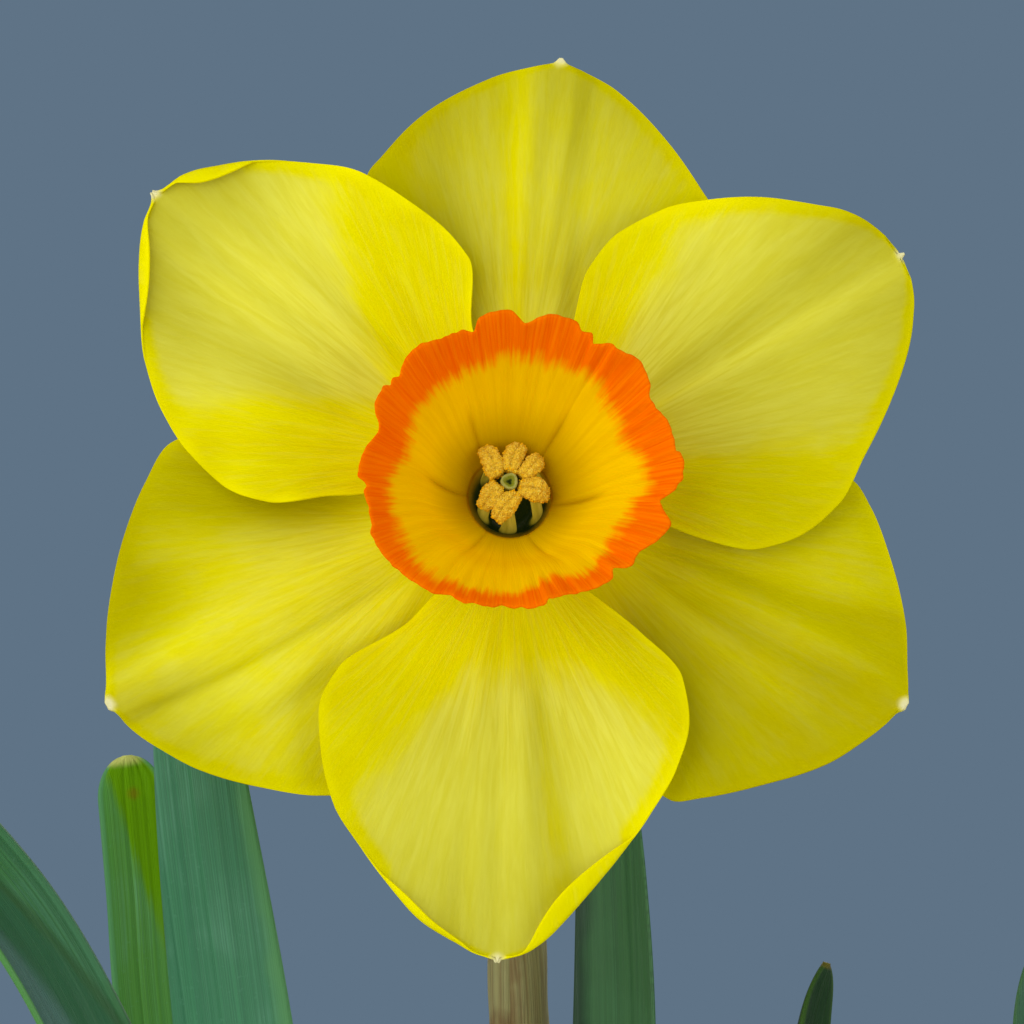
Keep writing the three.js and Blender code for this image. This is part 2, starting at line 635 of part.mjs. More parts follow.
// Corona: ruffled cup with a notched, lobed rim
function makeCorona() {
  const radiusAt = track(coronaProfile);
  const [foot, rim] = [coronaProfile[0][0], coronaProfile.at(-1)[0]];
  const grid = [];
  for (let i = 0; i <= coronaRows; i += 1) {
    const v = i / coronaRows;
    const row = [];
    for (let j = 0; j < coronaColumns; j += 1) {
      const degrees = -180 + (360 * j) / coronaColumns;
      const angle = degToRad(degrees);
      const notch = coronaNotches.reduce((sum, [at, depth]) => {
        const apart = ((degrees - at + 540) % 360) - 180;
        return sum + depth * Math.exp(-((apart / notchWidth) ** 2));
      }, 0);
      const frill = 0.45 * Math.sin(9 * angle + 0.6) + 0.35 * Math.sin(14 * angle + 2.1);
      const fold = 0.28 * Math.cos(7 * angle + 0.4) * smoothstep(v, 0.1, 0.5);
      const rise = lerp(foot, rim, v) + (0.8 * frill - 0.7 * notch) * v ** 5;
      const reach = radiusAt(lerp(foot, rim, v)) + fold + (0.4 * frill - 0.45 * notch) * v ** 4;
      const squash = lerp(1, coronaFlatten, v);
      const squeezed = Math.hypot(Math.cos(angle), squash * Math.sin(angle));
      row.push(flowerPoint(reach * squeezed, Math.atan2(squash * Math.sin(angle), Math.cos(angle)), rise));
    }
    grid.push(row);
  }
  return blade(grid, () => coronaThickness, true);
}

// Six stamens on one ring in the tube: flat filaments and two-lobed anthers
function makeStamens() {
  const ring = lathe([
    [2.2, -1], [3.3, -1], [3.3, 1], [2.2, 1], [2.2, -1],
  ], 24);
  const frame = new THREE.Matrix4().makeBasis(flowerRight, flowerUp, flowerAxis)
    .setPosition(flowerPoint(0, 0, stamenRingDepth));
  let solid = toSolid(ring.applyMatrix4(frame));
  for (const degrees of antherAngles) {
    const angle = degToRad(degrees);
    const across = flowerPoint(1, angle + Math.PI / 2, 0).sub(throat);
    const middleReach = lerp(antherInner.reach, antherOuter.reach, 0.5);
    const middleRise = lerp(antherInner.rise, antherOuter.rise, 0.5);
    const filament = new THREE.CatmullRomCurve3([
      flowerPoint(2.75, angle, stamenRingDepth),
      flowerPoint(filamentReach, angle, stamenRingDepth / 2),
      flowerPoint(filamentReach, angle, 1),
      flowerPoint(middleReach, angle, middleRise),
    ]);
    const filamentRings = [0, 0.34, 0.67, 1].map((s) => ringAt(
      filament.getPointAt(s), filament.getTangentAt(s), across, filamentRadius * 1.3, filamentRadius, 6,
    ));
    solid = solid.add(toSolid(loft(filamentRings)));
    const inner = flowerPoint(antherInner.reach, angle, antherInner.rise);
    const outer = flowerPoint(antherOuter.reach, angle, antherOuter.rise);
    const along = outer.clone().sub(inner).normalize();
    const antherRings = [0, 0.12, 0.45, 0.8, 1].map((s) => {
      const swell = 0.35 + 0.65 * Math.sin(Math.PI * clamp(s * 0.84 + 0.08, 0, 1)) ** 0.6;
      const centre = inner.clone().lerp(outer, s);
      return ringAt(centre, along, across, 1, 1, 10).map((p) => {
        const offset = p.sub(centre);
        const wide = offset.dot(across);
        const lobed = 0.78 + 0.32 * Math.abs(wide);
        return centre.clone().addScaledVector(offset, (antherWidth / 2) * swell * lobed);
      });
    });
    solid = solid.add(toSolid(loft(antherRings)));
  }
  return fromSolid(solid);
}

// Style rising through the tube to a three-lobed stigma
function makePistil() {
  const sides = 12;
  const girths = [
    [-tubeLength, 0.75, 0], [-tubeLength + 6, styleRadius, 0], [-8, styleRadius, 0],
    [stigmaRise - 1, styleRadius, 0], [stigmaRise - 0.5, stigmaRadius, 0.2],
    [stigmaRise + 0.1, stigmaRadius, 0.22], [stigmaRise + 0.4, stigmaRadius * 0.6, 0.15],
  ];
  const rings = girths.map(([rise, radius, lobe]) => Array.from({ length: sides }, (_, j) => {
    const angle = (j / sides) * 2 * Math.PI;
    return flowerPoint(radius * (1 + lobe * Math.cos(3 * angle)), angle, rise);
  }));
  return loft(rings);
}

addPart('pot', makePot(), clay);
addPart('soil', makeSoil(), earth);
addPart('bulb_main', makeBulb(bulbs.main), tunic);
addPart('bulb_offset', makeBulb(bulbs.offset), tunic);
addPart('sheath_main', makeSheath(bulbs.main, 24), membrane);
addPart('sheath_offset', makeSheath(bulbs.offset, 22), membrane);
for (const leaf of leaves) {
  addPart(leaf.name, makeLeaf(leaf), leafGreen);
}
addPart('flower_stem', makeStem(), stemGreen);
addPart('spathe', makeSpathe(), paper);
addPart('perianth_tube', makeTube(), tubeGreen);
for (const tepal of tepals) {
  addPart(tepal.name, makeTepal(tepal), lemon);
}
addPart('corona', makeCorona(), flame);
addPart('stamens', makeStamens(), pollen);
addPart('pistil', makePistil(), stigmaGreen);

export default plant;
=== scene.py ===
"""Potted large-cupped narcissus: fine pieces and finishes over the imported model."""

import math

import bpy
import numpy as np
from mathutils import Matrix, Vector, noise


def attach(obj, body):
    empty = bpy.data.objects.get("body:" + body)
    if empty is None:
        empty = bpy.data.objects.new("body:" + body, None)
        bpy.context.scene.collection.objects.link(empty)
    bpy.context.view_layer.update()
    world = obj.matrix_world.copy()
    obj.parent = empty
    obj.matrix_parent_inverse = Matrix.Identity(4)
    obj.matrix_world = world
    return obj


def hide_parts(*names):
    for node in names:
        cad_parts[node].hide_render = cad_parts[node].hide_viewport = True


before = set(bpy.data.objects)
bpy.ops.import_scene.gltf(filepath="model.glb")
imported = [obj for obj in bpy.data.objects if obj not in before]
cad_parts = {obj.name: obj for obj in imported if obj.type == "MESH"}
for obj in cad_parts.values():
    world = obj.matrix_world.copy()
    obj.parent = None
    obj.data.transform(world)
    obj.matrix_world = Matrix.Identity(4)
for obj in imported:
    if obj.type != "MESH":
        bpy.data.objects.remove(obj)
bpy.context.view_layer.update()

# Sizes are in millimetres, as in the solids, and meshes are written in metres
MM = 0.001

# Flower: throat, and the direction it faces (turned up and a little to the right)
THROAT = np.array((0.0, -34.0, 426.0))
FACE_UP = math.radians(14)
FACE_RIGHT = math.radians(2.9)
FLOWER_AXIS = np.array((
    math.sin(FACE_RIGHT) * math.cos(FACE_UP),
    -math.cos(FACE_RIGHT) * math.cos(FACE_UP),
    math.sin(FACE_UP),
))
FLOWER_RIGHT = np.array((1.0, 0.0, 0.0)) - FLOWER_AXIS * FLOWER_AXIS[0]
FLOWER_RIGHT /= np.linalg.norm(FLOWER_RIGHT)
FLOWER_UP = np.cross(FLOWER_AXIS, FLOWER_RIGHT)

# The photograph's view: straight along +Y, this far in front of the throat and this far below it,
# with a fine setting of the camera's height
VIEW_DISTANCE = 600
VIEW_DROP = 2.4
CAMERA_TRIM = 0.02
SENSOR = 36
LENS = 191.76
BACKDROP = (95, 115, 134)
SOFT_DAYLIGHT = (0.43, 0.44, 0.45, 1.0)

# Studio lights: place, aim and width in metres, power in watts, and colour
FLOWER_PLACE = (0, -0.03, 0.42)
LIGHTS = {
    "key_light": ((-0.95, -1.05, 0.85), FLOWER_PLACE, 2.0, 23.1, (1.0, 0.99, 0.96)),
    "fill_light": ((1.1, -0.9, 0.35), FLOWER_PLACE, 1.0, 7.5, (0.95, 0.97, 1.0)),
    "back_light": ((0.4, 1.2, 1.1), (0, 0, 0.3), 1.3, 6, (0.96, 0.98, 1.0)),
}
FLOOR_RADIUS = 1700
FLOOR_SIDES = 128

# Tepals
TEPAL_THICKNESS = 0.6
TEPAL_MARGIN_THICKNESS = 0.22
WHORL_LEVEL = {"inner": 0.8, "outer": -1.2}
WHORL_CUP = {"inner": 1.1, "outer": -0.9}
TIP_FORWARD = 3.8
TEPAL_ROOT = 7
TOOTH_LENGTH = 0.6
VEIN_ROOT = 5
VEIN_SPREAD = 0.9
TEPAL_ROWS = 120
TEPAL_FLATS = 36
TEPAL_CURLS = 14
ROLL_RADIUS = 0.38
SOFT_ROLL_RADIUS = 5.0
# Fine ribs of a tepal: how many in the fan, and how high
FINE_RIBS = ((15, 0.02), (27, 0.014), (45, 0.009), (67, 0.006))

# Tepal colours, as a screen shows them
LEMON = (245, 241, 0)
LEMON_DEEP = (242, 234, 0)
LEMON_EDGE = (250, 244, 0)
LEMON_SHADE = (216, 202, 0)
VEIN_SHADE = (204, 188, 0)
# Painted sheen: the paler patch in the middle of a tepal stands in for a sheen
PAINTED_SHEEN = (241, 240, 92)
PAINTED_SHEEN_DEEP = (235, 232, 72)
BLOOM_PALE = (240, 238, 120)
# Painted shade: the colour that darkens a tepal where shade is painted on it
TEPAL_PAINTED_SHADE = (204, 201, 160)

# Outline stations: distance from the throat, reach to the left and reach to the right.
# A tooth is half the width of the blunt point at its root. The double ridge has its height, the
# place of the groove in its middle, its reach to each crest, and how much shade is painted in the
# groove. A curl gives where a rolled margin starts, the width of its roll and how far it turns.
# Ribs are (place across, height, width) of long soft folds. The paler patch is a painted sheen:
# where it starts along the blade, its veins to the left and right, how much it widens outwards and
# its strength. Then comes how much shade is painted over the whole blade and towards its tip. Bare
# bands in the painted sheen, and bands of painted shade, where a negative depth takes painted shade
# away, are (place across, depth, width, where they begin along the blade).
TEPALS = {
    "tepal_top": dict(
        whorl="outer", angle=84, tip=47.8, tip_offset=0.4,
        outline=(
            (7, 3.2, 3.2), (12, 8, 8), (20, 17.5, 16.8), (27, 20.5, 19.5), (33, 19.5, 18.8),
            (35, 18.2, 17.4), (40, 14.2, 13), (45, 6.8, 6.8), (46.7, 2.2, 2.8), (47.8, 0.1, 0.9),
        ),
        tooth=0.9, ridge=(0.3, 0, 2.4, 0), wave=(0.5, 0.4), curls=((36, 0.7, 6), (36, 0.6, 6)),
        ribs=((-0.1, 0.1, 0.04), (0.09, -0.12, 0.03), (0.42, -0.06, 0.06)),
        bloom=(0.08, -0.52, 0.5, 0, 0.6), bare=((-0.12, 0.7, 0.07, 0),), dusk=(0.44, 0.45),
        painted_shade_bands=(
            (-0.72, 1.45, 0.3, 0), (-0.09, -0.3, 0.05, 0), (0.09, 0.35, 0.028, 0), (0.6, 0.15, 0.2, 0),
        ),
    ),
    "tepal_upper_left": dict(
        whorl="inner", angle=140.4, tip=51.4, tip_offset=0,
        outline=(
            (7, 3.2, 3.2), (12.5, 11, 9.5), (15, 13.3, 11.3), (20, 18.3, 16.8), (25, 20, 17.6),
            (30, 19.6, 17.3), (35, 18, 16.5), (40, 15, 13.7), (45, 9.8, 9.8), (47.5, 6.8, 6.9),
            (50, 3, 3.5), (51.4, 0.5, 0.5),
        ),
        tooth=0.55, ridge=(0.2, 0, 2.4, 0), wave=(0.6, 1.7), curls=((42.5, 2.5, 160), (44.8, 2.9, 160)),
        ribs=((-0.13, -0.14, 0.03), (0.07, -0.1, 0.025), (0.3, -0.12, 0.04), (-0.4, -0.1, 0.05)),
        bloom=(0.18, -0.38, 0.21, 0.85, 1.0), bare=(), dusk=(-0.05, 0.8),
        painted_shade_bands=((-0.3, 0.4, 0.15, 0), (0.16, 0.15, 0.08, 0)),
    ),
    "tepal_lower_left": dict(
        whorl="outer", angle=209.3, tip=50.5, tip_offset=1.1,
        outline=(
            (7, 3.2, 3.2), (12, 8, 8), (20, 17.5, 17.5), (26, 20.8, 22.5), (30, 21, 23),
            (35, 19, 20.4), (40, 15.2, 16.3), (45, 10.2, 10.6), (47.5, 6.4, 6.8), (49.6, 2, 3),
            (50.5, -0.6, 1.6),
        ),
        tooth=1.5, ridge=(0.5, -2.4, 3.6, 0.5), wave=(0.6, 2.9), curls=((34, 0.8, 6), (38, 0.9, 4)),
        ribs=((-0.34, -0.12, 0.05), (0.3, -0.16, 0.06), (-0.5, 0.1, 0.06)),
        bloom=(0.12, -0.62, 0.55, 0, 0.45), bare=((0.3, 0.9, 0.15, 0.5),), dusk=(0.0, 0.85),
        painted_shade_bands=(
            (0.66, 1.1, 0.22, 0), (-0.6, 0.4, 0.25, 0), (0.08, -0.4, 0.06, 0), (0.32, 0.6, 0.15, 0.5),
        ),
    ),
    "tepal_bottom": dict(
        whorl="inner", angle=268.2, tip=52, tip_offset=0,
        outline=(
            (7, 3.2, 3.2), (12, 10.5, 8.5), (15, 14.5, 11.2), (20, 19.5, 18.5), (25, 20.4, 20.6),
            (30, 19.2, 20.1), (35, 16.5, 18.7), (40, 13, 15.3), (45, 9, 11.2), (47.5, 6.9, 8.7),
            (50, 4.4, 4.5), (51.3, 2, 1.8), (52, 0.5, 0.5),
        ),
        tooth=0.55, ridge=(0.2, 0, 2.4, 0), wave=(0.5, 4.1), curls=((37.5, 3.7, 158), (42, 2.1, 150)),
        ribs=((-0.16, -0.16, 0.04), (0.12, -0.14, 0.03), (-0.03, 0.1, 0.03), (0.35, 0.08, 0.05)),
        bloom=(0.26, -0.74, 0.44, 0.6, 1.0), bare=((-0.2, 0.5, 0.06, 0),), dusk=(0.32, 0.3),
        painted_shade_bands=((-0.2, 0.4, 0.07, 0), (0.14, 0.12, 0.05, 0), (-0.6, -0.35, 0.2, 0)),
    ),
    "tepal_lower_right": dict(
        whorl="outer", angle=330.1, tip=49.5, tip_offset=-1.1,
        outline=(
            (7, 3.2, 3.2), (12, 8, 8), (20, 17, 17), (26, 20, 21), (32, 19.7, 21),
            (35, 18.2, 19), (40, 14.2, 14.5), (45, 8.8, 9), (47.5, 4.8, 4.3), (48.5, 3.2, 1.8),
            (49.5, 1.6, -0.6),
        ),
        tooth=1.4, ridge=(0.25, 0, 2.4, 0), wave=(0.6, 5.2), curls=((40, 0.9, 4), (36, 1.1, 24)),
        ribs=((-0.19, -0.12, 0.06), (-0.06, 0.06, 0.05), (0.45, -0.1, 0.06)),
        bloom=(0.1, -0.6, 0.6, 0, 0.28), bare=((-0.2, 0.7, 0.08, 0),), dusk=(0.5, 0.42),
        painted_shade_bands=((0.4, 0.6, 0.25, 0), (-0.19, 0.4, 0.07, 0), (0.02, 0.3, 0.1, 0)),
    ),
    "tepal_upper_right": dict(
        whorl="inner", angle=31.1, tip=50.4, tip_offset=0,
        outline=(
            (7, 3.2, 3.2), (15, 12, 15.3), (20, 16.7, 19.7), (25, 18.3, 20.8), (30, 18, 20),
            (35, 16.3, 17), (40, 13.6, 13.8), (45, 9.6, 9.7), (47.5, 7.2, 6.8), (49.6, 2.8, 2.8),
            (50.4, 0.5, 0.5),
        ),
        tooth=0.55, ridge=(0.2, 0, 2.4, 0), wave=(0.5, 0.9), curls=((42, 0.8, 6), (39, 1.2, 12)),
        ribs=((-0.1, -0.12, 0.03), (0.12, -0.1, 0.03), (-0.4, -0.12, 0.05), (0.5, 0.1, 0.06)),
        bloom=(0.16, -0.56, 0.5, 0, 0.95), bare=(), dusk=(0.53, 0.3),
        painted_shade_bands=((-0.12, 0.25, 0.06, 0), (-0.6, -0.5, 0.35, 0), (0.03, -0.25, 0.04, 0)),
    ),
}

# Corona: profile as (height above the throat, radius). The rim gives its reach by angle, with
# every scallop and notch. The flame edge gives where the orange band starts along the wall.
CORONA_PROFILE = ((1.6, 4.7), (2.7, 6.6), (4.4, 8.7), (7.6, 11.5), (11.3, 14.6), (14.2, 16.9))
CORONA_THICKNESS = 0.7
CORONA_RIM_THICKNESS = 0.4
CORONA_COLUMNS = 640
CORONA_ROWS = 50
CORONA_RIM = (
    (-180, 16.8), (-173, 17.3), (-169, 16.5), (-167, 17), (-162, 17), (-154, 17.5), (-151, 18),
    (-146, 18.1), (-134, 17.9), (-122, 17.6), (-115, 16.9), (-110, 17.2), (-106, 16.8), (-101, 16.8),
    (-96, 16.2), (-93, 16.5), (-89, 16.3), (-86, 16.7), (-80, 16.4), (-78, 15.9), (-71, 15.9),
    (-62, 16.4), (-53, 16.6), (-50, 15.7), (-46, 16.6), (-43, 16.8), (-39, 16.5), (-29, 17.7),
    (-24, 17.8), (-18, 16.2), (-16, 15.9), (-10, 17.3), (-5, 17.8), (2, 17.5), (3, 16.9), (12, 16.8),
    (25, 15.8), (31, 16.5), (39, 17.1), (48, 16.2), (51, 16.2), (57, 15.4), (58, 15.3), (61, 16.3),
    (64, 15.9), (68, 16.6), (73, 16.5), (80, 16.1), (87, 15.1), (92, 16.2), (96, 16.5), (105, 16.1),
    (109, 15), (113, 15.5), (122, 15.5), (134, 16.4), (139, 16.3), (145, 15.7), (147, 16.1),
    (150, 15.9), (152, 16.4), (159, 16.5), (168, 15.3), (180, 16.8),
)
FLAME_EDGE = (
    (-180, 0.68), (-171, 0.75), (-153, 0.77), (-135, 0.83), (-117, 0.85), (-99, 0.84), (-90, 0.83),
    (-81, 0.75), (-72, 0.7), (-63, 0.8), (-45, 0.72), (-36, 0.67), (-18, 0.68), (-9, 0.75), (0, 0.72),
    (9, 0.64), (27, 0.63), (36, 0.62), (45, 0.67), (63, 0.69), (81, 0.67), (99, 0.66), (126, 0.66),
    (139, 0.62), (153, 0.65), (162, 0.61), (171, 0.6), (180, 0.68),
)
# Creases that run up from the throat: angle and depth, and the width of each in degrees
CORONA_CREASES = ((178, 0.55), (122, 0.4), (52, 0.45), (-9, 0.6), (-64, 0.4), (-123, 0.45))
CREASE_WIDTH = 3.2

# Stamens and pistil
# Anthers: inner end and outer end across the flower, and width
ANTHERS = (
    (-1.9, 0.35, -3.2, 3.9, 2.3), (-0.5, 0.95, 0.75, 4.3, 2.2), (0.7, 0.5, 2.9, 3.0, 2.0),
    (0.5, -0.75, 3.85, -1.4, 2.55), (0.4, -1.4, -1.9, -4.3, 2.3), (-1.75, -0.35, -3.5, -2.9, 2.3),
)
ANTHER_RISE = (4.2, 3.2)
FILAMENT_ANGLES = (136, 75, 33, 325, 266, 213)
FILAMENT_WIDTH = 1.9
FILAMENT_DEPTH = 0.75
FILAMENT_REACH = 3.5
STAMEN_RING_DEPTH = -7
# Pollen on the open and on the closed side of an anther: grains a square metre, radius,
# unevenness and seed
OPEN_POLLEN = (9.0e6, 0.075, 0.4, 3)
SIDE_POLLEN = (6.0e6, 0.12, 0.5, 4)
STIGMA_RISE = 4.5
STIGMA_PLACE = (-0.5, -0.2)
MOUTH_PLACE = (-0.35, -1.35)
STYLE_RADIUS = 0.55

# Perianth tube, ovary and stem
TUBE_LENGTH = 24
TUBE_BORE = 3.8
COLLAR_RADIUS = 6.7
COLLAR_TOP = 1.2
SEAT_GAP = 0.3
OVARY_RADIUS = 3.7
PEDICEL_RADIUS = 1.9
SCAPE_TOP = 356
STEM_PATH = (
    (-4, 10, 117.4), (-3, 12, 180), (-1, 15, 260), (0.6, 17, 340), (0.8, 17, 358),
    (0.6, 17.2, 376), (-0.6, 16.6, 394), (-2.2, 13, 408),
)

# Spathe
SPATHE_BASE = 356.9
SPATHE_HEIGHT = 47
SPATHE_THICKNESS = 0.45

# Leaves: spine points, half-width, channel radius from base to tip, and the way the upper
# face looks at the base and at the tip
LEAF_ROWS = 220
LEAF_COLUMNS = 24
LEAVES = {
    "leaf_far_left": dict(
        half_width=5.9, channel=(9.5, 5.8), blunt=20,
        spine=(
            (-13.6, 10, 117.5), (-13.9, 10, 142), (-17.4, 10, 175), (-24.4, 6.5, 225),
            (-35, -5, 295), (-43.6, -15, 350), (-50.5, -19, 368), (-58.6, -21, 381),
            (-69, -21.5, 391), (-81, -20, 395),
        ),
        face=((1, 0, 0), (0.42, -0.87, 0.26)),
    ),
    "leaf_broad": dict(
        half_width=7.7, channel=(6.2, 30), blunt=110,
        spine=(
            (-9.4, 6.9, 117.5), (-11.5, 4, 170), (-16, -2, 230), (-23.5, -11, 300),
            (-31.4, -22, 365.5), (-34.9, -27, 395.3), (-37.4, -29, 423),
        ),
        face=((0.87, 0.5, 0), (0.12, 1, 0.1)),
    ),
    "leaf_narrow": dict(
        half_width=3.9, channel=(6.2, 12), blunt=5,
        spine=(
            (-8, 14.8, 117.5), (-11.5, 16, 175), (-19, 15.5, 235), (-31, 9, 300),
            (-42, 1.4, 362), (-43.4, 0.2, 380), (-44.7, -0.3, 395.3),
        ),
        face=((0.64, -0.77, 0), (0.25, -1, 0.1)),
    ),
    "leaf_right": dict(
        half_width=6.5, channel=(6.2, 5.4), blunt=62,
        spine=(
            (0.4, 14.4, 117.5), (4.4, 14.9, 170), (9.6, 13.2, 240), (12.2, 10.6, 310),
            (12.8, 8, 363.4), (12.2, 7.2, 380), (11, 6.6, 400.6),
        ),
        face=((-0.7, -0.7, 0), (-0.3, -1, 0.1)),
    ),
    "leaf_offset_left": dict(
        half_width=4, channel=(3.6, 6), blunt=14,
        spine=(
            (34.8, 5.2, 117.5), (33.2, 4.2, 190), (31, 2, 280), (31.6, 0.6, 335), (34.4, 0, 364),
            (36.6, 0, 371.2),
        ),
        face=((1, 0.2, 0), (0.86, -0.5, 0)),
    ),
    "leaf_offset_right": dict(
        half_width=4.6, channel=(3.6, 9), blunt=12,
        spine=((41.2, 6.8, 117.5), (44.4, 6.4, 190), (52, 4.5, 270), (61.8, 1, 345), (63, 0, 374.5)),
        face=((-1, -0.2, 0), (-0.5, -0.87, 0)),
    ),
}

# Bulbs, sheaths, soil and pot
BULBS = {
    "bulb_main": dict(x=-4, y=10, foot=72, nose=131, girth=25, neck=14.6, pocket=12.7),
    "bulb_offset": dict(x=38, y=6, foot=84, nose=129, girth=14.5, neck=8.4, pocket=6.9),
}
SHEATHS = {"sheath_main": ("bulb_main", 24), "sheath_offset": ("bulb_offset", 22)}
POCKET_FLOOR = 117
SHEATH_THICKNESS = 0.5
SOIL_LEVEL = 124
SOIL_LUMP = 1.3
# What is strewn on the soil: name, finish, grains a square metre, radius, unevenness and seed
SOIL_HEAPS = (
    ("soil_crumbs", "crumb", 130000, 0.62, 0.55, 5), ("soil_clods", "crumb", 22000, 1.25, 0.5, 8),
    ("soil_grit", "grit", 5200, 0.75, 0.45, 11), ("soil_bark", "bark", 7000, 1.1, 0.75, 14),
)
POT_HEIGHT = 138
POT_FOOT_RADIUS = 54
POT_SHOULDER_RADIUS = 73
POT_RIM_RADIUS = 82
POT_RIM_HEIGHT = 28
POT_WALL = 6
POT_FLOOR = 9
DRAIN_HOLE_RADIUS = 6
DRAIN_HOLE_RING = 26
DRAIN_HOLE_COUNT = 4


def lerp(a, b, t):
    return a + (b - a) * t


def ease(x, low, high):
    """Goes smoothly from 0 at low to 1 at high. Low may be the greater of the two."""
    t = np.clip((np.asarray(x, float) - low) / (high - low), 0, 1)
    return t * t * (3 - 2 * t)


def bump_at(x, centre, width):
    return np.exp(-(((x - centre) / width) ** 2))


def track(stations):
    """Smooth curve through (position, value) stations that never overshoots them."""
    places, values = np.array(stations, float).T
    slopes = np.diff(values) / np.diff(places)
    before = np.concatenate((slopes[:1], slopes))
    after = np.concatenate((slopes, slopes[-1:]))
    same_way = before * after > 0
    total = np.where(same_way, before + after, 1)
    tangents = np.where(same_way, 2 * before * after / total, 0)

    def at(x):
        x = np.asarray(x, float)
        i = np.clip(np.searchsorted(places, x) - 1, 0, len(slopes) - 1)
        step = places[i + 1] - places[i]
        t = np.clip((x - places[i]) / step, 0, 1)
        bend = tangents[i] * (1 - t) - tangents[i + 1] * t
        return lerp(values[i], values[i + 1], t * t * (3 - 2 * t)) + step * t * (1 - t) * bend

    return at


def run_lengths(points):
    """Length of the path through the points, up to each of them."""
    return np.concatenate(([0], np.cumsum(np.linalg.norm(np.diff(points, axis=0), axis=1))))


def follow(points, fractions):
    """Places and directions at fractions of the length of a smooth curve through the points."""
    points = np.array(points, float)
    ends = (2 * points[0] - points[1], 2 * points[-1] - points[-2])
    knots = np.vstack((ends[0], points, ends[1]))
    gaps = np.linalg.norm(np.diff(knots, axis=0), axis=1) ** 0.5
    fine = np.linspace(0, 1, 101)[:-1, None]
    dense = []
    for i in range(1, len(knots) - 2):
        p0, p1, p2, p3 = knots[i - 1:i + 3]
        g0, g1, g2 = gaps[i - 1:i + 2]
        leave = ((p1 - p0) / g0 - (p2 - p0) / (g0 + g1) + (p2 - p1) / g1) * g1
        arrive = ((p2 - p1) / g1 - (p3 - p1) / (g1 + g2) + (p3 - p2) / g2) * g1
        square = -3 * p1 + 3 * p2 - 2 * leave - arrive
        cube = 2 * p1 - 2 * p2 + leave + arrive
        dense.append(p1 + leave * fine + square * fine ** 2 + cube * fine ** 3)
    dense = np.vstack((*dense, points[-1:]))
    lengths = run_lengths(dense)
    at = np.asarray(fractions, float) * lengths[-1]
    places = np.stack([np.interp(at, lengths, dense[:, k]) for k in range(3)], -1)
    heading = np.gradient(dense, lengths, axis=0)
    ways = np.stack([np.interp(at, lengths, heading[:, k]) for k in range(3)], -1)
    return places, unit(ways), lengths[-1]


def unit(v):
    return v / np.maximum(np.linalg.norm(v, axis=-1, keepdims=True), 1e-9)


def flower_place(x, y, rise):
    """Point in the flower's own frame: x and y across its face, and rise along its axis."""
    return THROAT + x * FLOWER_RIGHT + y * FLOWER_UP + rise * FLOWER_AXIS


def flower_point(reach, angle, rise):
    """Point in the flower's own frame: reach and angle about its axis, and rise along it."""
    reach, angle, rise = (part[..., None] for part in np.broadcast_arrays(reach, angle, rise))
    return flower_place(reach * np.cos(angle), reach * np.sin(angle), rise)


def grit(points, size, seed=0.0, octaves=3):
    """Uneven values about 0 for each point, in lumps about this size."""
    scaled = np.asarray(points, float).reshape(-1, 3) / size + seed
    values = [noise.fractal(Vector(p), 0.8, 2.1, octaves) for p in scaled]
    return np.array(values).reshape(np.asarray(points).shape[:-1])


def new_object(name, data):
    thing = bpy.data.objects.new(name, data)
    bpy.context.scene.collection.objects.link(thing)
    return thing


def piece_from(name, points, faces, **marks):
    """Smooth piece from points in millimetres, with a named value or vector at each point."""
    mesh = bpy.data.meshes.new(name)
    mesh.from_pydata((np.asarray(points) * MM).tolist(), [], faces)
    for mark, values in marks.items():
        values = np.asarray(values, float)
        kind, field = ("FLOAT_VECTOR", "vector") if values.ndim == 2 else ("FLOAT", "value")
        mesh.attributes.new(mark, kind, "POINT").data.foreach_set(field, values.ravel())
    mesh.shade_smooth()
    mesh.update()
    return new_object(name, mesh)


def mesh_after(piece, modifier):
    """Plain mesh of a piece with its modifier, which is then removed."""
    seen = piece.evaluated_get(bpy.context.evaluated_depsgraph_get())
    mesh = bpy.data.meshes.new_from_object(seen)
    piece.modifiers.remove(modifier)
    return mesh


def grid_quads(number):
    """Faces between the rows and columns of a grid of point numbers."""
    corners = (number[:-1, :-1], number[:-1, 1:], number[1:, 1:], number[1:, :-1])
    return np.stack(corners, -1).reshape(-1, 4)


def sheet_piece(name, middle, thickness, wrap=False, **marks):
    """Closed thin shell round a middle sheet of points: two faces and the edge between them."""
    rows, columns = middle.shape[:2]
    if wrap:
        across = np.roll(middle, -1, 1) - np.roll(middle, 1, 1)
    else:
        across = np.gradient(middle, axis=1)
    facing = unit(np.cross(across, np.gradient(middle, axis=0)))
    offset = facing * (np.broadcast_to(thickness, (rows, columns)) / 2)[..., None]
    points = np.concatenate(((middle + offset).reshape(-1, 3), (middle - offset).reshape(-1, 3)))
    number = np.arange(rows * columns).reshape(rows, columns)
    if wrap:
        number = np.hstack((number, number[:, :1]))
    front = grid_quads(number)
    behind = rows * columns
    quads = [front, front[:, ::-1] + behind]
    edges = [number[0], number[-1, ::-1]]
    if not wrap:
        edges += [number[::-1, 0], number[:, -1]]
    for edge in edges:
        start, end = edge[:-1], edge[1:]
        quads.append(np.stack((start, start + behind, end + behind, end), -1))
    both = {}
    for mark, values in marks.items():
        flat = np.broadcast_to(values, (rows, columns) + np.shape(values)[2:])
        flat = flat.reshape((behind,) + np.shape(values)[2:])
        both[mark] = np.concatenate((flat, flat))
    both["front"] = np.concatenate((np.ones(behind), np.zeros(behind)))
    return piece_from(name, points, np.vstack(quads).tolist(), **both)


def wrapped_quads(rings, closed):
    """Faces of a skin over closed rings, joined end to end where it is closed."""
    number = np.arange(rings.shape[0] * rings.shape[1]).reshape(rings.shape[:2])
    number = np.hstack((number, number[:, :1]))
    if closed:
        number = np.vstack((number, number[:1]))
    return grid_quads(number)


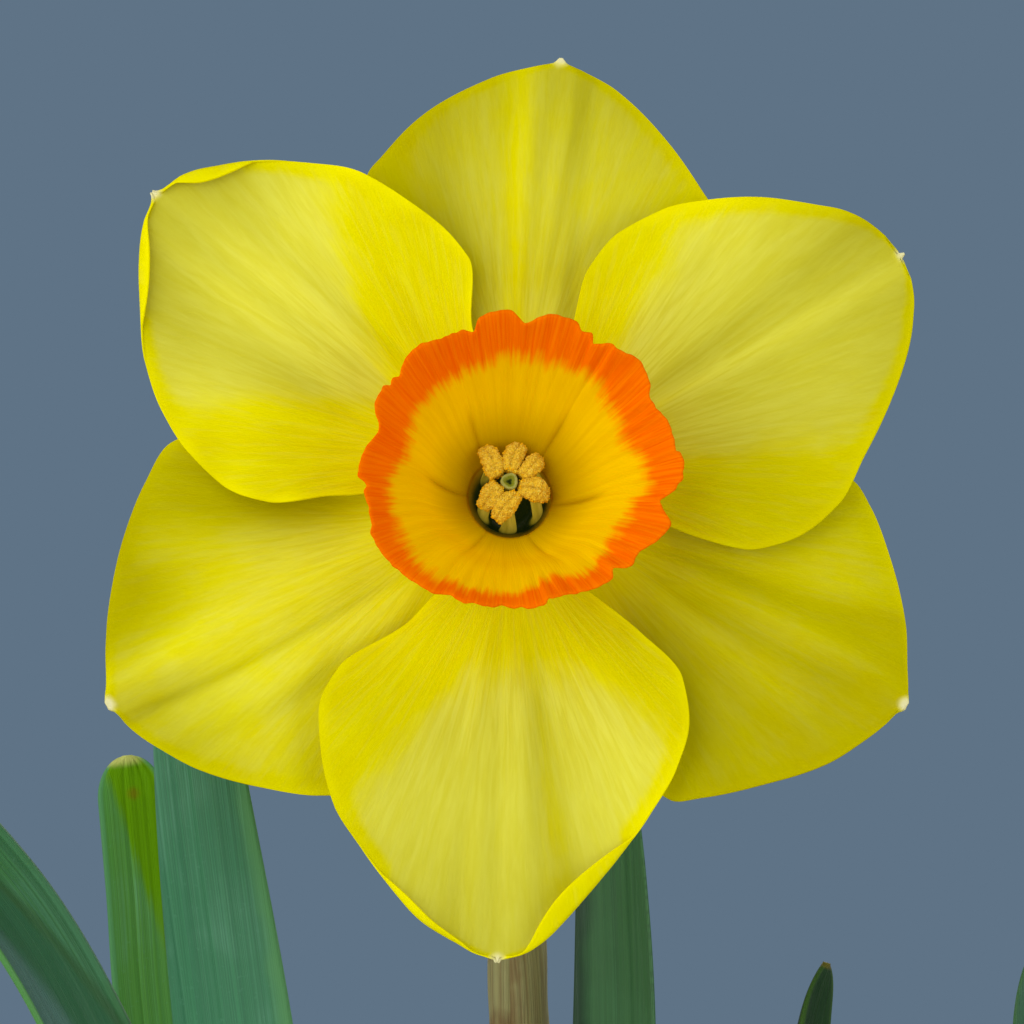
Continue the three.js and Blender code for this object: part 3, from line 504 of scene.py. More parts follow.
def loft(rings):
    """Points and faces of a solid skin over closed rings, with a fan over each end."""
    count, sides = rings.shape[:2]
    points = np.vstack((rings.reshape(-1, 3), rings[0].mean(0)[None], rings[-1].mean(0)[None]))
    first, last = count * sides, count * sides + 1
    start, end = np.arange(sides), np.arange(sides) + first - sides
    caps = [(first, int(b), int(a)) for a, b in zip(start, np.roll(start, -1))]
    caps += [(last, int(a), int(b)) for a, b in zip(end, np.roll(end, -1))]
    return points, wrapped_quads(rings, False).tolist() + caps


def loft_piece(name, rings, **marks):
    points, faces = loft(rings)
    full = {}
    for mark, values in marks.items():
        flat = np.broadcast_to(values, rings.shape[:2] + np.shape(values)[2:])
        ends = np.stack((flat[0].mean(0), flat[-1].mean(0)))
        full[mark] = np.concatenate((flat.reshape((-1,) + flat.shape[2:]), ends))
    return piece_from(name, points, faces, **full)


def rings_along(places, ways, across, wide, deep, turns):
    """Rings round a path, wider across than deep."""
    side = unit(across - (ways @ across)[:, None] * ways)
    up = np.cross(ways, side)
    wide, deep = np.broadcast_to(wide, len(places)), np.broadcast_to(deep, len(places))
    return (
        places[:, None]
        + (wide[:, None] * np.cos(turns))[..., None] * side[:, None]
        + (deep[:, None] * np.sin(turns))[..., None] * up[:, None]
    )


def soften(profile, step, reach):
    """Profile drawn again with close points and its corners rounded."""
    profile = np.array(profile, float)
    lengths = run_lengths(profile)
    count = int(lengths[-1] / step)
    at = np.linspace(0, lengths[-1], count)
    fine = np.stack([np.interp(at, lengths, profile[:, k]) for k in range(2)], -1)
    width = max(int(reach / step), 1)
    padded = np.vstack((
        np.repeat(fine[:1], width, 0), fine, np.repeat(fine[-1:], width, 0),
    ))
    kernel = np.hanning(2 * width + 3)[1:-1]
    kernel /= kernel.sum()
    smooth = np.stack([np.convolve(padded[:, k], kernel, "valid") for k in range(2)], -1)
    smooth[0], smooth[-1] = fine[0], fine[-1]
    return smooth


def circle(count):
    return np.linspace(0, 2 * math.pi, count, endpoint=False)


def ring_grain(turns, rows, scale):
    """Vector mark for round pieces: two turn parts and the place along, with no seam."""
    turns, rows = np.broadcast_arrays(turns, rows)
    return np.stack((np.cos(turns) * scale, np.sin(turns) * scale, rows), -1)


# Camera, light and floor

def make_camera():
    camera = new_object("camera", bpy.data.cameras.new("camera"))
    bpy.context.scene.camera = camera
    camera.data.lens = LENS
    camera.data.sensor_width = SENSOR
    camera.location = (0, (THROAT[1] - VIEW_DISTANCE) * MM, (THROAT[2] - VIEW_DROP - CAMERA_TRIM) * MM)
    camera.rotation_euler = (math.radians(90), 0, 0)
    camera.data.clip_start = 0.01
    camera.data.clip_end = 50


def make_light(name, place, aim, width, power, colour):
    lamp = bpy.data.lights.new(name, "AREA")
    lamp.shape = "DISK"
    lamp.size = width
    lamp.energy = power
    lamp.color = colour
    light = new_object(name, lamp)
    light.location = place
    light.rotation_euler = (Vector(aim) - Vector(place)).to_track_quat("-Z", "Y").to_euler()
    light.visible_camera = False


def make_studio():
    world = bpy.data.worlds.new("studio")
    world.use_nodes = True
    mixer = Mixer(world.node_tree)
    backdrop = world.node_tree.nodes["Background"]
    seen = mixer.node("LightPath").outputs["Is Camera Ray"]
    mixer.feed(backdrop.inputs["Color"], mixer.blend(seen, SOFT_DAYLIGHT, BACKDROP))
    bpy.context.scene.world = world
    bpy.context.scene.view_settings.view_transform = "Standard"
    for name, light in LIGHTS.items():
        make_light(name, *light)


def make_floor(finish):
    turns = circle(FLOOR_SIDES)
    rim = np.stack((np.cos(turns) * FLOOR_RADIUS, np.sin(turns) * FLOOR_RADIUS, turns * 0), -1)
    floor = piece_from("floor", rim, [tuple(range(FLOOR_SIDES))])
    floor.data.materials.append(finish)


# Finishes

def paint_colour(red, green, blue):
    """Colour as a screen shows it, 0 to 255, turned to the renderer's own scale."""
    values = np.array((red, green, blue)) / 255
    linear = np.where(values <= 0.04045, values / 12.92, ((values + 0.055) / 1.055) ** 2.4)
    return (*linear.tolist(), 1.0)


class Mixer:
    """Adds nodes to one material or node group in short calls."""

    def __init__(self, tree, family="ShaderNode"):
        self.tree = tree
        self.family = family

    def node(self, kind, inputs=None, family=None, **settings):
        node = self.tree.nodes.new((family or self.family) + kind)
        for key, value in settings.items():
            setattr(node, key, value)
        for socket, value in (inputs or {}).items():
            self.feed(node.inputs[socket], value)
        return node

    def feed(self, socket, value):
        """Links a socket or sets a value. Three numbers for a colour are as a screen shows it."""
        if isinstance(value, bpy.types.NodeSocket):
            self.tree.links.new(value, socket)
        elif socket.type == "RGBA" and len(value) == 3:
            socket.default_value = paint_colour(*value)
        else:
            socket.default_value = value

    def place(self):
        return self.node("TexCoord").outputs["Object"]

    def mark(self, name, output="Fac"):
        return self.node("Attribute", attribute_name=name).outputs[output]

    def part(self, vector, axis):
        return self.node("SeparateXYZ", {0: vector}).outputs[axis]

    def noise(self, vector, scale, detail=3.0, roughness=0.55, distortion=0.0):
        inputs = {
            "Vector": vector, "Scale": scale, "Detail": detail,
            "Roughness": roughness, "Distortion": distortion,
        }
        return self.node("TexNoise", inputs).outputs["Fac"]

    def sum(self, kind, a, b=0.0, c=0.0):
        return self.node("Math", {0: a, 1: b, 2: c}, operation=kind).outputs[0]

    def times(self, a, b):
        return self.sum("MULTIPLY", a, b)

    def plus(self, a, b):
        return self.sum("ADD", a, b)

    def times_plus(self, a, b, c):
        return self.sum("MULTIPLY_ADD", a, b, c)

    def span(self, value, low, high, to_low=0.0, to_high=1.0):
        inputs = {"Value": value, "From Min": low, "From Max": high}
        inputs.update({"To Min": to_low, "To Max": to_high})
        return self.node("MapRange", inputs, interpolation_type="SMOOTHSTEP").outputs["Result"]

    def blend(self, amount, under, over, kind="MIX"):
        node = self.node("Mix", data_type="RGBA", blend_type=kind)
        self.feed(node.inputs[0], amount)
        self.feed(node.inputs[6], under)
        self.feed(node.inputs[7], over)
        return node.outputs[2]

    def stretch(self, vector, scale):
        inputs = {"Vector": vector, "Scale": scale}
        return self.node("Mapping", inputs, vector_type="POINT").outputs["Vector"]

    def use(self, group, *values):
        """Outputs of a shared group, with its inputs given in their order."""
        node = self.node("Group", node_tree=group)
        for socket, value in zip(node.inputs, values):
            self.feed(socket, value)
        return node.outputs

    def fibres(self, grain, fine, run, wander):
        return self.use(FIBRES, grain, fine, run, wander)

    def mottle(self, place, clouds, specks):
        return self.use(MOTTLE, place, clouds, specks)

    def ragged(self, edge, place, width, softness, uneven, teeth):
        """Mask by the distance in the mark edge, in millimetres, with its teeth per metre."""
        return self.use(RAGGED, self.mark(edge), width, softness, uneven, place, teeth)["Mask"]

    def relief(self, height, distance, strength):
        inputs = {"Height": height, "Distance": distance * MM, "Strength": strength}
        return self.node("Bump", inputs).outputs["Normal"]


def new_group(name, inputs, outputs, family="Shader"):
    """Node group with its named sockets: (name, kind, value) and (name, kind)."""
    group = bpy.data.node_groups.new(name, family + "NodeTree")
    for label, kind, value in inputs:
        socket = group.interface.new_socket(label, in_out="INPUT", socket_type="NodeSocket" + kind)
        if value is not None:
            socket.default_value = value
    for label, kind in outputs:
        group.interface.new_socket(label, in_out="OUTPUT", socket_type="NodeSocket" + kind)
    start = group.nodes.new("NodeGroupInput")
    end = group.nodes.new("NodeGroupOutput")
    return group, Mixer(group, family + "Node"), start.outputs, end.inputs


def make_fibre_group():
    """Fine lines and broader bands that run along a piece's grain."""
    inputs = (
        ("Grain", "Vector", None), ("Fine", "Float", 40.0), ("Run", "Float", 2.0),
        ("Wander", "Float", 0.2),
    )
    outputs = (("Lines", "Float"), ("Bands", "Float"), ("Ribs", "Float"))
    group, mixer, start, end = new_group("fibre lines", inputs, outputs)
    parts = mixer.node("SeparateXYZ", {0: start["Grain"]})
    for label, share in (("Lines", 1.0), ("Bands", 0.28), ("Ribs", 0.55)):
        fine = mixer.times(start["Fine"], share)
        run = mixer.times(start["Run"], share)
        across = mixer.times(parts.outputs["X"], fine)
        round_it = mixer.times(parts.outputs["Y"], fine)
        along = mixer.times(parts.outputs["Z"], run)
        vector = mixer.node("CombineXYZ", {0: across, 1: round_it, 2: along}).outputs[0]
        lines = mixer.noise(vector, 1.0, 2.0, 0.5, start["Wander"])
        mixer.feed(end[label], mixer.span(lines, 0.25, 0.75))
    return group


def make_mottle_group():
    """Soft clouds, small specks and a fine pitted height over a whole piece."""
    inputs = (
        ("Place", "Vector", None), ("Clouds per metre", "Float", 60.0),
        ("Specks per metre", "Float", 900.0),
    )
    outputs = (("Clouds", "Float"), ("Specks", "Float"), ("Pits", "Float"))
    group, mixer, start, end = new_group("mottling", inputs, outputs)
    clouds = mixer.noise(start["Place"], start["Clouds per metre"], 3.0, 0.6, 0.3)
    mixer.feed(end["Clouds"], mixer.span(clouds, 0.3, 0.7))
    specks = mixer.noise(start["Place"], start["Specks per metre"], 2.0, 0.5)
    mixer.feed(end["Specks"], mixer.span(specks, 0.62, 0.74))
    inputs = {"Vector": start["Place"], "Scale": start["Specks per metre"]}
    cells = mixer.node("TexVoronoi", inputs)
    mixer.feed(end["Pits"], cells.outputs["Distance"])
    return group


def make_ragged_group():
    """Mask that is 1 nearer than a width to an edge, with an uneven border."""
    inputs = (
        ("From edge", "Float", 0.0), ("Width", "Float", 1.0), ("Softness", "Float", 0.3),
        ("Ragged", "Float", 0.5), ("Place", "Vector", None), ("Teeth per metre", "Float", 400.0),
    )
    group, mixer, start, end = new_group("ragged edge", inputs, (("Mask", "Float"),))
    wobble = mixer.noise(start["Place"], start["Teeth per metre"], 1.0, 0.6)
    wobble = mixer.times_plus(wobble, 2.0, -1.0)
    wobble = mixer.times(wobble, start["Ragged"])
    apart = mixer.plus(start["From edge"], wobble)
    apart = mixer.sum("SUBTRACT", start["Width"], apart)
    low = mixer.times(start["Softness"], -1.0)
    mixer.feed(end["Mask"], mixer.span(apart, low, start["Softness"]))
    return group


def new_finish(name):
    finish = bpy.data.materials.new(name)
    finish.use_nodes = True
    finish.node_tree.nodes.clear()
    return finish, Mixer(finish.node_tree)


def skin(mixer, colour, roughness, normal=None, level=0.5, sheen=0.0, lit=None, lit_through=0.0):
    """Principled surface, with its plain numbers set on the shader itself.

    Where flesh is lit from behind, a share lit_through of the colour lit is given off as a painted glow
    that stands in for that light.
    """
    inputs = {"Base Color": colour, "Roughness": roughness}
    if normal is not None:
        inputs["Normal"] = normal
    shader = mixer.node("BsdfPrincipled", inputs)
    shader.inputs["Specular IOR Level"].default_value = level
    shader.inputs["Sheen Weight"].default_value = sheen
    shader.inputs["Sheen Roughness"].default_value = 0.4
    if lit is not None:
        mixer.feed(shader.inputs["Emission Color"], lit)
        shader.inputs["Emission Strength"].default_value = lit_through
    return shader.outputs[0]


def finish_with(mixer, surface, glow_colour=None, share=0.0, normal=None):
    """Ends a finish. A share of the light passes through thin blades, tinted by glow_colour."""
    if glow_colour is not None:
        inputs = {"Color": glow_colour}
        if normal is not None:
            inputs["Normal"] = normal
        through = mixer.node("BsdfTranslucent", inputs).outputs[0]
        surface = mixer.node("MixShader", {0: share, 1: surface, 2: through}).outputs[0]
    mixer.node("OutputMaterial", {"Surface": surface})


FIBRES = make_fibre_group()
MOTTLE = make_mottle_group()
RAGGED = make_ragged_group()


def tepal_finish():
    """Lemon petal skin: a paler patch of painted sheen in the middle, fine fanning streaks, a pale
    point, a brighter margin with a painted highlight, and painted shade.
    """
    finish, mixer = new_finish("petal skin")
    place = mixer.place()
    grain = mixer.mark("grain", "Vector")
    lines = mixer.fibres(grain, 78.0, 17.0, 0.5)
    broad = mixer.fibres(grain, 32.0, 6.5, 0.7)
    cells = mixer.mottle(place, 170.0, 5200.0)
    lemon = mixer.blend(broad["Bands"], LEMON_DEEP, LEMON)
    bloom = mixer.blend(broad["Lines"], PAINTED_SHEEN_DEEP, PAINTED_SHEEN)
    uneven = mixer.times_plus(broad["Ribs"], 0.16, 0.26)
    uneven = mixer.times_plus(lines["Ribs"], 0.14, uneven)
    uneven = mixer.times_plus(cells["Clouds"], 0.26, uneven)
    # Painted sheen: a paler patch where the sheen mark and uneven noise add up, on the front face only
    patch = mixer.plus(mixer.mark("bloom"), uneven)
    patch = mixer.times(mixer.span(patch, 0.6, 1.5), mixer.mark("front"))
    colour = mixer.blend(patch, lemon, bloom)
    streaks = mixer.span(lines["Lines"], 0.8, 0.1, 0.0, 0.1)
    colour = mixer.blend(streaks, colour, LEMON_SHADE)
    near_cup = mixer.span(mixer.part(grain, "Z"), 0.72, 0.36)
    veins = mixer.times(mixer.span(broad["Lines"], 0.6, 0.2, 0.0, 0.16), near_cup)
    colour = mixer.blend(veins, colour, VEIN_SHADE)
    threads = mixer.span(lines["Ribs"], 0.4, 0.95, 0.0, 0.06)
    colour = mixer.blend(threads, colour, BLOOM_PALE)
    # The margin band is partly the tepal's own brighter edge and partly a painted highlight where light
    # catches the rounded edge
    margin = mixer.ragged("rim", place, 0.8, 0.7, 0.25, 300.0)
    colour = mixer.blend(margin, colour, LEMON_EDGE)
    point = mixer.ragged("tip", place, 0.85, 0.5, 0.35, 900.0)
    colour = mixer.blend(point, colour, (240, 236, 186))
    # Painted shade: the colour is darkened by the painted shade mark, over the blade, towards its tip
    # and in bands
    shade = mixer.blend(1.0, colour, TEPAL_PAINTED_SHADE, "MULTIPLY")
    colour = mixer.blend(mixer.mark("dusk"), colour, shade)
    glow = mixer.blend(0.45, colour, (244, 230, 0))
    normal = mixer.relief(lines["Lines"], 0.04, 0.3)
    gloss = mixer.span(broad["Bands"], 0.0, 1.0, 0.55, 0.65)
    finish_with(mixer, skin(mixer, colour, gloss, normal, 0.0), glow, 0.36, normal)
    return finish


def cup_finish():
    """Gold cup with a soft ragged flame band at its rim, and painted shade darkening it towards the
    throat.
    """
    finish, mixer = new_finish("cup skin")
    place = mixer.place()
    grain = mixer.mark("grain", "Vector")
    lines = mixer.fibres(grain, 6.0, 0.13, 0.4)
    cells = mixer.mottle(place, 330.0, 6000.0)
    gold = mixer.blend(lines["Bands"], (243, 210, 0), (252, 222, 0))
    # Painted shade: the gold darkens towards the throat, where shade falls
    dusk = mixer.span(mixer.mark("rise"), 0.42, -0.04)
    colour = mixer.blend(dusk, gold, (190, 152, 0))
    orange = mixer.blend(lines["Lines"], (247, 114, 0), (255, 142, 0))
    flame = mixer.times_plus(lines["Ribs"], 1.4, mixer.mark("orange"))
    flame = mixer.times_plus(cells["Clouds"], 0.9, flame)
    flame = mixer.span(flame, -0.2, 2.7)
    colour = mixer.blend(flame, colour, orange)
    glow = mixer.blend(0.4, colour, (255, 150, 0))
    normal = mixer.relief(lines["Lines"], 0.05, 0.5)
    gloss = mixer.span(lines["Bands"], 0.0, 1.0, 0.5, 0.62)
    finish_with(mixer, skin(mixer, colour, gloss, normal, 0.0), glow, 0.38, normal)
    return finish


def anther_finish(name, dark, light, crest):
    """Granular pollen: pale crests over a deeper ochre."""
    finish, mixer = new_finish(name)
    place = mixer.place()
    cells = mixer.mottle(place, 2600.0, 5200.0)
    colour = mixer.blend(cells["Clouds"], dark, light)
    colour = mixer.blend(cells["Pits"], colour, crest)
    normal = mixer.relief(cells["Pits"], 0.12, 0.9)
    finish_with(mixer, skin(mixer, colour, 0.85, normal, 0.1), (240, 180, 20), 0.15)
    return finish


def filament_finish(name, foot, top):
    """Pale juicy stalk, streaked along its length, darkened by painted shade deeper in the tube, with a
    painted glow that stands in for the light coming through the tube.
    """
    finish, mixer = new_finish(name)
    lines = mixer.fibres(mixer.mark("grain", "Vector"), 4.0, 0.4, 0.2)
    colour = mixer.blend(lines["Bands"], foot, top)
    # Painted shade: the stalk darkens deeper down the tube
    colour = mixer.blend(mixer.span(mixer.mark("rise"), -0.5, -5.0), colour, (30, 42, 12))
    normal = mixer.relief(lines["Lines"], 0.04, 0.5)
    finish_with(mixer, skin(mixer, colour, 0.42, normal, 0.45, 0.0, colour, 0.32), top, 0.25)
    return finish


def stigma_finish():
    """Pale green lobed tip with a greener wet hollow in the middle, and painted shade at the bottom of
    the hollow.
    """
    finish, mixer = new_finish("stigma skin")
    cells = mixer.mottle(mixer.place(), 900.0, 9000.0)
    colour = mixer.blend(cells["Clouds"], (150, 152, 64), (178, 178, 88))
    wet = mixer.span(mixer.mark("hollow"), 0.1, 0.45)
    colour = mixer.blend(wet, colour, (140, 146, 30))
    # Painted shade: the bottom of the hollow is near black
    hollow = mixer.span(mixer.mark("hollow"), 0.66, 1.05)
    colour = mixer.blend(hollow, colour, (44, 56, 8))
    normal = mixer.relief(cells["Pits"], 0.05, 0.7)
    finish_with(mixer, skin(mixer, colour, 0.5, normal, 0.25), (170, 176, 80), 0.2)
    return finish


def leaf_finish(
    name, body, streak, margin, bloom, margin_width=0.3, margin_side=0, gloss_level=0.4,
    tip=None, tip_reach=0.0, patch=None, crease=None,
):
    """Strap leaf: parallel veins, a waxy coat that is rubbed away in places, and a band along the
    margin.

    The margin band runs along both sides, or along one where margin_side is 1 or -1. It is painted
    light on one side of the broad leaf and painted shade on one side of the right leaf. The patch is
    painted shade, and the crease brings painted shade and a painted reflection of the sky.
    """
    finish, mixer = new_finish(name)
    place = mixer.place()
    grain = mixer.mark("grain", "Vector")
    veins = mixer.fibres(grain, 13.0, 0.012, 0.15)
    broad = mixer.fibres(grain, 4.5, 0.02, 0.5)
    cells = mixer.mottle(place, 75.0, 1600.0)
    colour = mixer.blend(broad["Bands"], body, streak)
    wax = mixer.times(mixer.span(cells["Clouds"], 0.1, 0.9, 0.25, 0.85), broad["Ribs"])
    colour = mixer.blend(wax, colour, bloom)
    lines = mixer.span(veins["Lines"], 0.55, 0.2, 0.0, 0.4)
    colour = mixer.blend(lines, colour, mixer.blend(0.6, body, (0.0, 0.02, 0.01, 1)))
    colour = mixer.blend(mixer.times(cells["Specks"], 0.2), colour, bloom)
    across = mixer.part(grain, "X")
    from_tip = mixer.mark("tip")
    # A patch of painted shade, in saturated yellow-green, on one side near the tip, and a brown spot
    # near the tip
    if patch is not None:
        tint, start, side, reach = patch
        over = mixer.times_plus(from_tip, -0.26, mixer.times(across, side))
        over = mixer.times_plus(broad["Ribs"], 0.6, over)
        near_tip = mixer.span(from_tip, reach, reach * 0.5)
        over = mixer.times(mixer.span(over, start, start + 1.2), near_tip)
        colour = mixer.blend(over, colour, tint)
        spot_place = mixer.node("CombineXYZ", {0: across, 1: from_tip}).outputs[0]
        inputs = {0: spot_place, 1: (0.2 * side, 4.4, 0.0)}
        spot = mixer.node("VectorMath", inputs, operation="DISTANCE").outputs["Value"]
        colour = mixer.blend(mixer.span(spot, 1.1, 0.2, 0.0, 0.55), colour, (128, 92, 10))
    # On a channelled leaf: painted shade on one side of the crease near the tip and along the crease
    # line, and a painted reflection of the sky further to that side near the tip
    if crease is not None:
        offset, slope = crease
        off = mixer.sum("SUBTRACT", mixer.times_plus(from_tip, -slope, across), offset)
        near_tip = mixer.span(from_tip, 90.0, 60.0)
        under = mixer.times(mixer.span(off, 0.3, -1.0, 0.0, 0.8), near_tip)
        colour = mixer.blend(under, colour, (20, 84, 48))
        crease_shade = mixer.span(mixer.sum("ABSOLUTE", off), 1.1, 0.1, 0.0, 0.7)
        colour = mixer.blend(crease_shade, colour, (30, 76, 30))
        painted_sky_reflection = mixer.times(mixer.span(off, -4.2, -6.6, 0.0, 0.75), near_tip)
        colour = mixer.blend(painted_sky_reflection, colour, (78, 116, 110))
    edge = mixer.ragged("rim", place, margin_width, margin_width * 0.8, margin_width * 0.5, 200.0)
    if margin_side:
        edge = mixer.times(edge, mixer.span(across, 0.0, margin_side))
    colour = mixer.blend(edge, colour, margin)
    if tip is not None:
        cap = mixer.ragged("tip", place, tip_reach, tip_reach * 0.5, tip_reach * 0.4, 320.0)
        cap = mixer.times(cap, mixer.span(across, 2.4, 0.4))
        colour = mixer.blend(cap, colour, tip)
    pale = mixer.span(mixer.mark("tip"), 235.0, 300.0)
    colour = mixer.blend(pale, colour, (206, 208, 150))
    glow = mixer.blend(0.5, colour, (120, 165, 40))
    normal = mixer.relief(veins["Lines"], 0.1, 0.5)
    gloss = mixer.span(wax, 0.0, 0.8, 0.42, 0.6)
    surface = skin(mixer, colour, gloss, normal, gloss_level, gloss_level * 0.25)
    finish_with(mixer, surface, glow, 0.12, normal)
    return finish


def stem_finish():
    """Ribbed green stem, waxy and paler towards its foot."""
    finish, mixer = new_finish("stem skin")
    grain = mixer.mark("grain", "Vector")
    lines = mixer.fibres(grain, 5.0, 0.03, 0.2)
    cells = mixer.mottle(mixer.place(), 90.0, 2200.0)
    colour = mixer.blend(lines["Bands"], (74, 122, 62), (104, 148, 78))
    colour = mixer.blend(mixer.span(cells["Clouds"], 0, 1, 0, 0.4), colour, (122, 160, 118))
    colour = mixer.blend(mixer.span(lines["Lines"], 0.5, 0.1, 0, 0.4), colour, (52, 92, 44))
    pale = mixer.span(mixer.mark("along"), 40.0, 0.0)
    colour = mixer.blend(pale, colour, (206, 208, 150))
    young = mixer.span(mixer.mark("along"), 285.0, 305.0)
    colour = mixer.blend(young, colour, (120, 150, 60))
    height = mixer.times_plus(lines["Lines"], 1.0, mixer.times(cells["Pits"], 0.2))
    normal = mixer.relief(height, 0.12, 0.6)
    finish_with(mixer, skin(mixer, colour, 0.45, normal, 0.4), (130, 170, 50), 0.05, normal)
    return finish


def papery_finish(name, light, dark, stain, through):
    """Dry papery skin: close veins, brown stains and a torn brown edge."""
    finish, mixer = new_finish(name)
    place = mixer.place()
    grain = mixer.mark("grain", "Vector")
    lines = mixer.fibres(grain, 9.0, 0.05, 0.4)
    cells = mixer.mottle(place, 110.0, 1500.0)
    colour = mixer.blend(lines["Bands"], dark, light)
    colour = mixer.blend(mixer.span(cells["Clouds"], 0.35, 0.95, 0, 0.75), colour, stain)
    colour = mixer.blend(mixer.span(lines["Lines"], 0.5, 0.1, 0, 0.55), colour, stain)
    torn = mixer.ragged("rim", place, 0.8, 0.6, 0.8, 420.0)
    colour = mixer.blend(mixer.times(torn, 0.7), colour, stain)
    height = mixer.times_plus(lines["Lines"], 1.0, mixer.times(cells["Clouds"], 1.5))
    normal = mixer.relief(height, 0.16, 0.8)
    finish_with(mixer, skin(mixer, colour, 0.66, normal, 0.3), light, through, normal)
    return finish


def tunic_finish():
    """Brown bulb skin in thin flaking layers, with long dark fibres."""
    finish, mixer = new_finish("bulb skin")
    place = mixer.place()
    grain = mixer.mark("grain", "Vector")
    lines = mixer.fibres(grain, 2.4, 0.05, 0.6)
    cells = mixer.mottle(place, 80.0, 1100.0)
    colour = mixer.blend(lines["Bands"], (112, 70, 38), (168, 118, 70))
    flakes = mixer.span(cells["Clouds"], 0.45, 0.6, 0, 0.7)
    colour = mixer.blend(flakes, colour, (92, 56, 32))
    colour = mixer.blend(mixer.span(lines["Lines"], 0.5, 0.15, 0, 0.8), colour, (58, 34, 20))
    height = mixer.plus(lines["Lines"], mixer.times(flakes, 1.6))
    normal = mixer.relief(height, 0.3, 0.9)
    finish_with(mixer, skin(mixer, colour, mixer.span(cells["Clouds"], 0, 1, 0.45, 0.75), normal, 0.35))
    return finish


def soil_finish(name, dark, light, size):
    """Crumbly ground: uneven dark and paler patches, and fine grains."""
    finish, mixer = new_finish(name)
    place = mixer.place()
    cells = mixer.mottle(place, 120.0, size)
    fine = mixer.mottle(place, 900.0, size * 3)
    colour = mixer.blend(cells["Clouds"], dark, light)
    colour = mixer.blend(mixer.times(fine["Clouds"], 0.5), colour, dark)
    colour = mixer.blend(mixer.times(fine["Specks"], 0.45), colour, (140, 112, 82))
    height = mixer.plus(cells["Pits"], mixer.times(fine["Pits"], 0.5))
    finish_with(mixer, skin(mixer, colour, 0.95, mixer.relief(height, 0.7, 0.9), 0.2))
    return finish


def clay_finish():
    """Fired clay: uneven orange body, turning lines, a pale lime crust and a damp darker foot."""
    finish, mixer = new_finish("fired clay")
    place = mixer.place()
    height_up = mixer.part(place, "Z")
    cells = mixer.mottle(place, 26.0, 950.0)
    fine = mixer.mottle(place, 150.0, 2600.0)
    lines = mixer.fibres(mixer.stretch(place, (1.0, 1.0, 14.0)), 22.0, 60.0, 0.3)
    colour = mixer.blend(cells["Clouds"], (168, 88, 54), (196, 112, 72))
    colour = mixer.blend(mixer.times(lines["Lines"], 0.3), colour, (206, 128, 88))
    colour = mixer.blend(mixer.times(fine["Specks"], 0.5), colour, (120, 62, 40))
    colour = mixer.blend(mixer.times(cells["Specks"], 0.35), colour, (226, 176, 140))
    lime = mixer.span(height_up, 0.075, 0.112, 0.0, 0.6)
    lime = mixer.times(lime, mixer.span(fine["Clouds"], 0.3, 0.9))
    lime = mixer.times(lime, cells["Clouds"])
    colour = mixer.blend(lime, colour, (222, 196, 174))
    damp = mixer.span(mixer.plus(height_up, mixer.times(cells["Clouds"], 0.03)), 0.05, 0.015)
    colour = mixer.blend(mixer.times(damp, 0.55), colour, (112, 66, 44))
    worn = mixer.ragged("rim", place, 1.2, 0.9, 1.2, 130.0)
    colour = mixer.blend(mixer.times(worn, 0.5), colour, (220, 156, 118))
    height = mixer.times_plus(lines["Lines"], 0.7, mixer.times(fine["Pits"], 0.5))
    normal = mixer.relief(height, 0.28, 0.7)
    finish_with(mixer, skin(mixer, colour, mixer.span(cells["Clouds"], 0, 1, 0.72, 0.9), normal, 0.3))
    return finish


def floor_finish():
    finish, mixer = new_finish("pale floor")
    cells = mixer.mottle(mixer.place(), 3.0, 300.0)
    colour = mixer.blend(cells["Clouds"], (184, 183, 180), (192, 191, 189))
    finish_with(mixer, skin(mixer, colour, 0.7))
    return finish


# Pieces

def keep(piece, node, slot, *finishes):
    """Gives a piece its finishes and its place in the frame."""
    for finish in finishes:
        piece.data.materials.append(finish)
    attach(piece, "root")
    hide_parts(node)


def lift_onto_flower(x, z, height):
    """Lifts points of the front view onto the flower, at the given height over its plane."""
    y = np.zeros_like(x)
    for _ in range(4):
        shrink = 1 + y / VIEW_DISTANCE
        px = x * shrink
        pz = (z + VIEW_DROP) * shrink - VIEW_DROP
        y = (height - px * FLOWER_AXIS[0] - pz * FLOWER_AXIS[2]) / FLOWER_AXIS[1]
    return np.stack((px, y, pz), -1) + THROAT


PETAL_SKIN = tepal_finish()


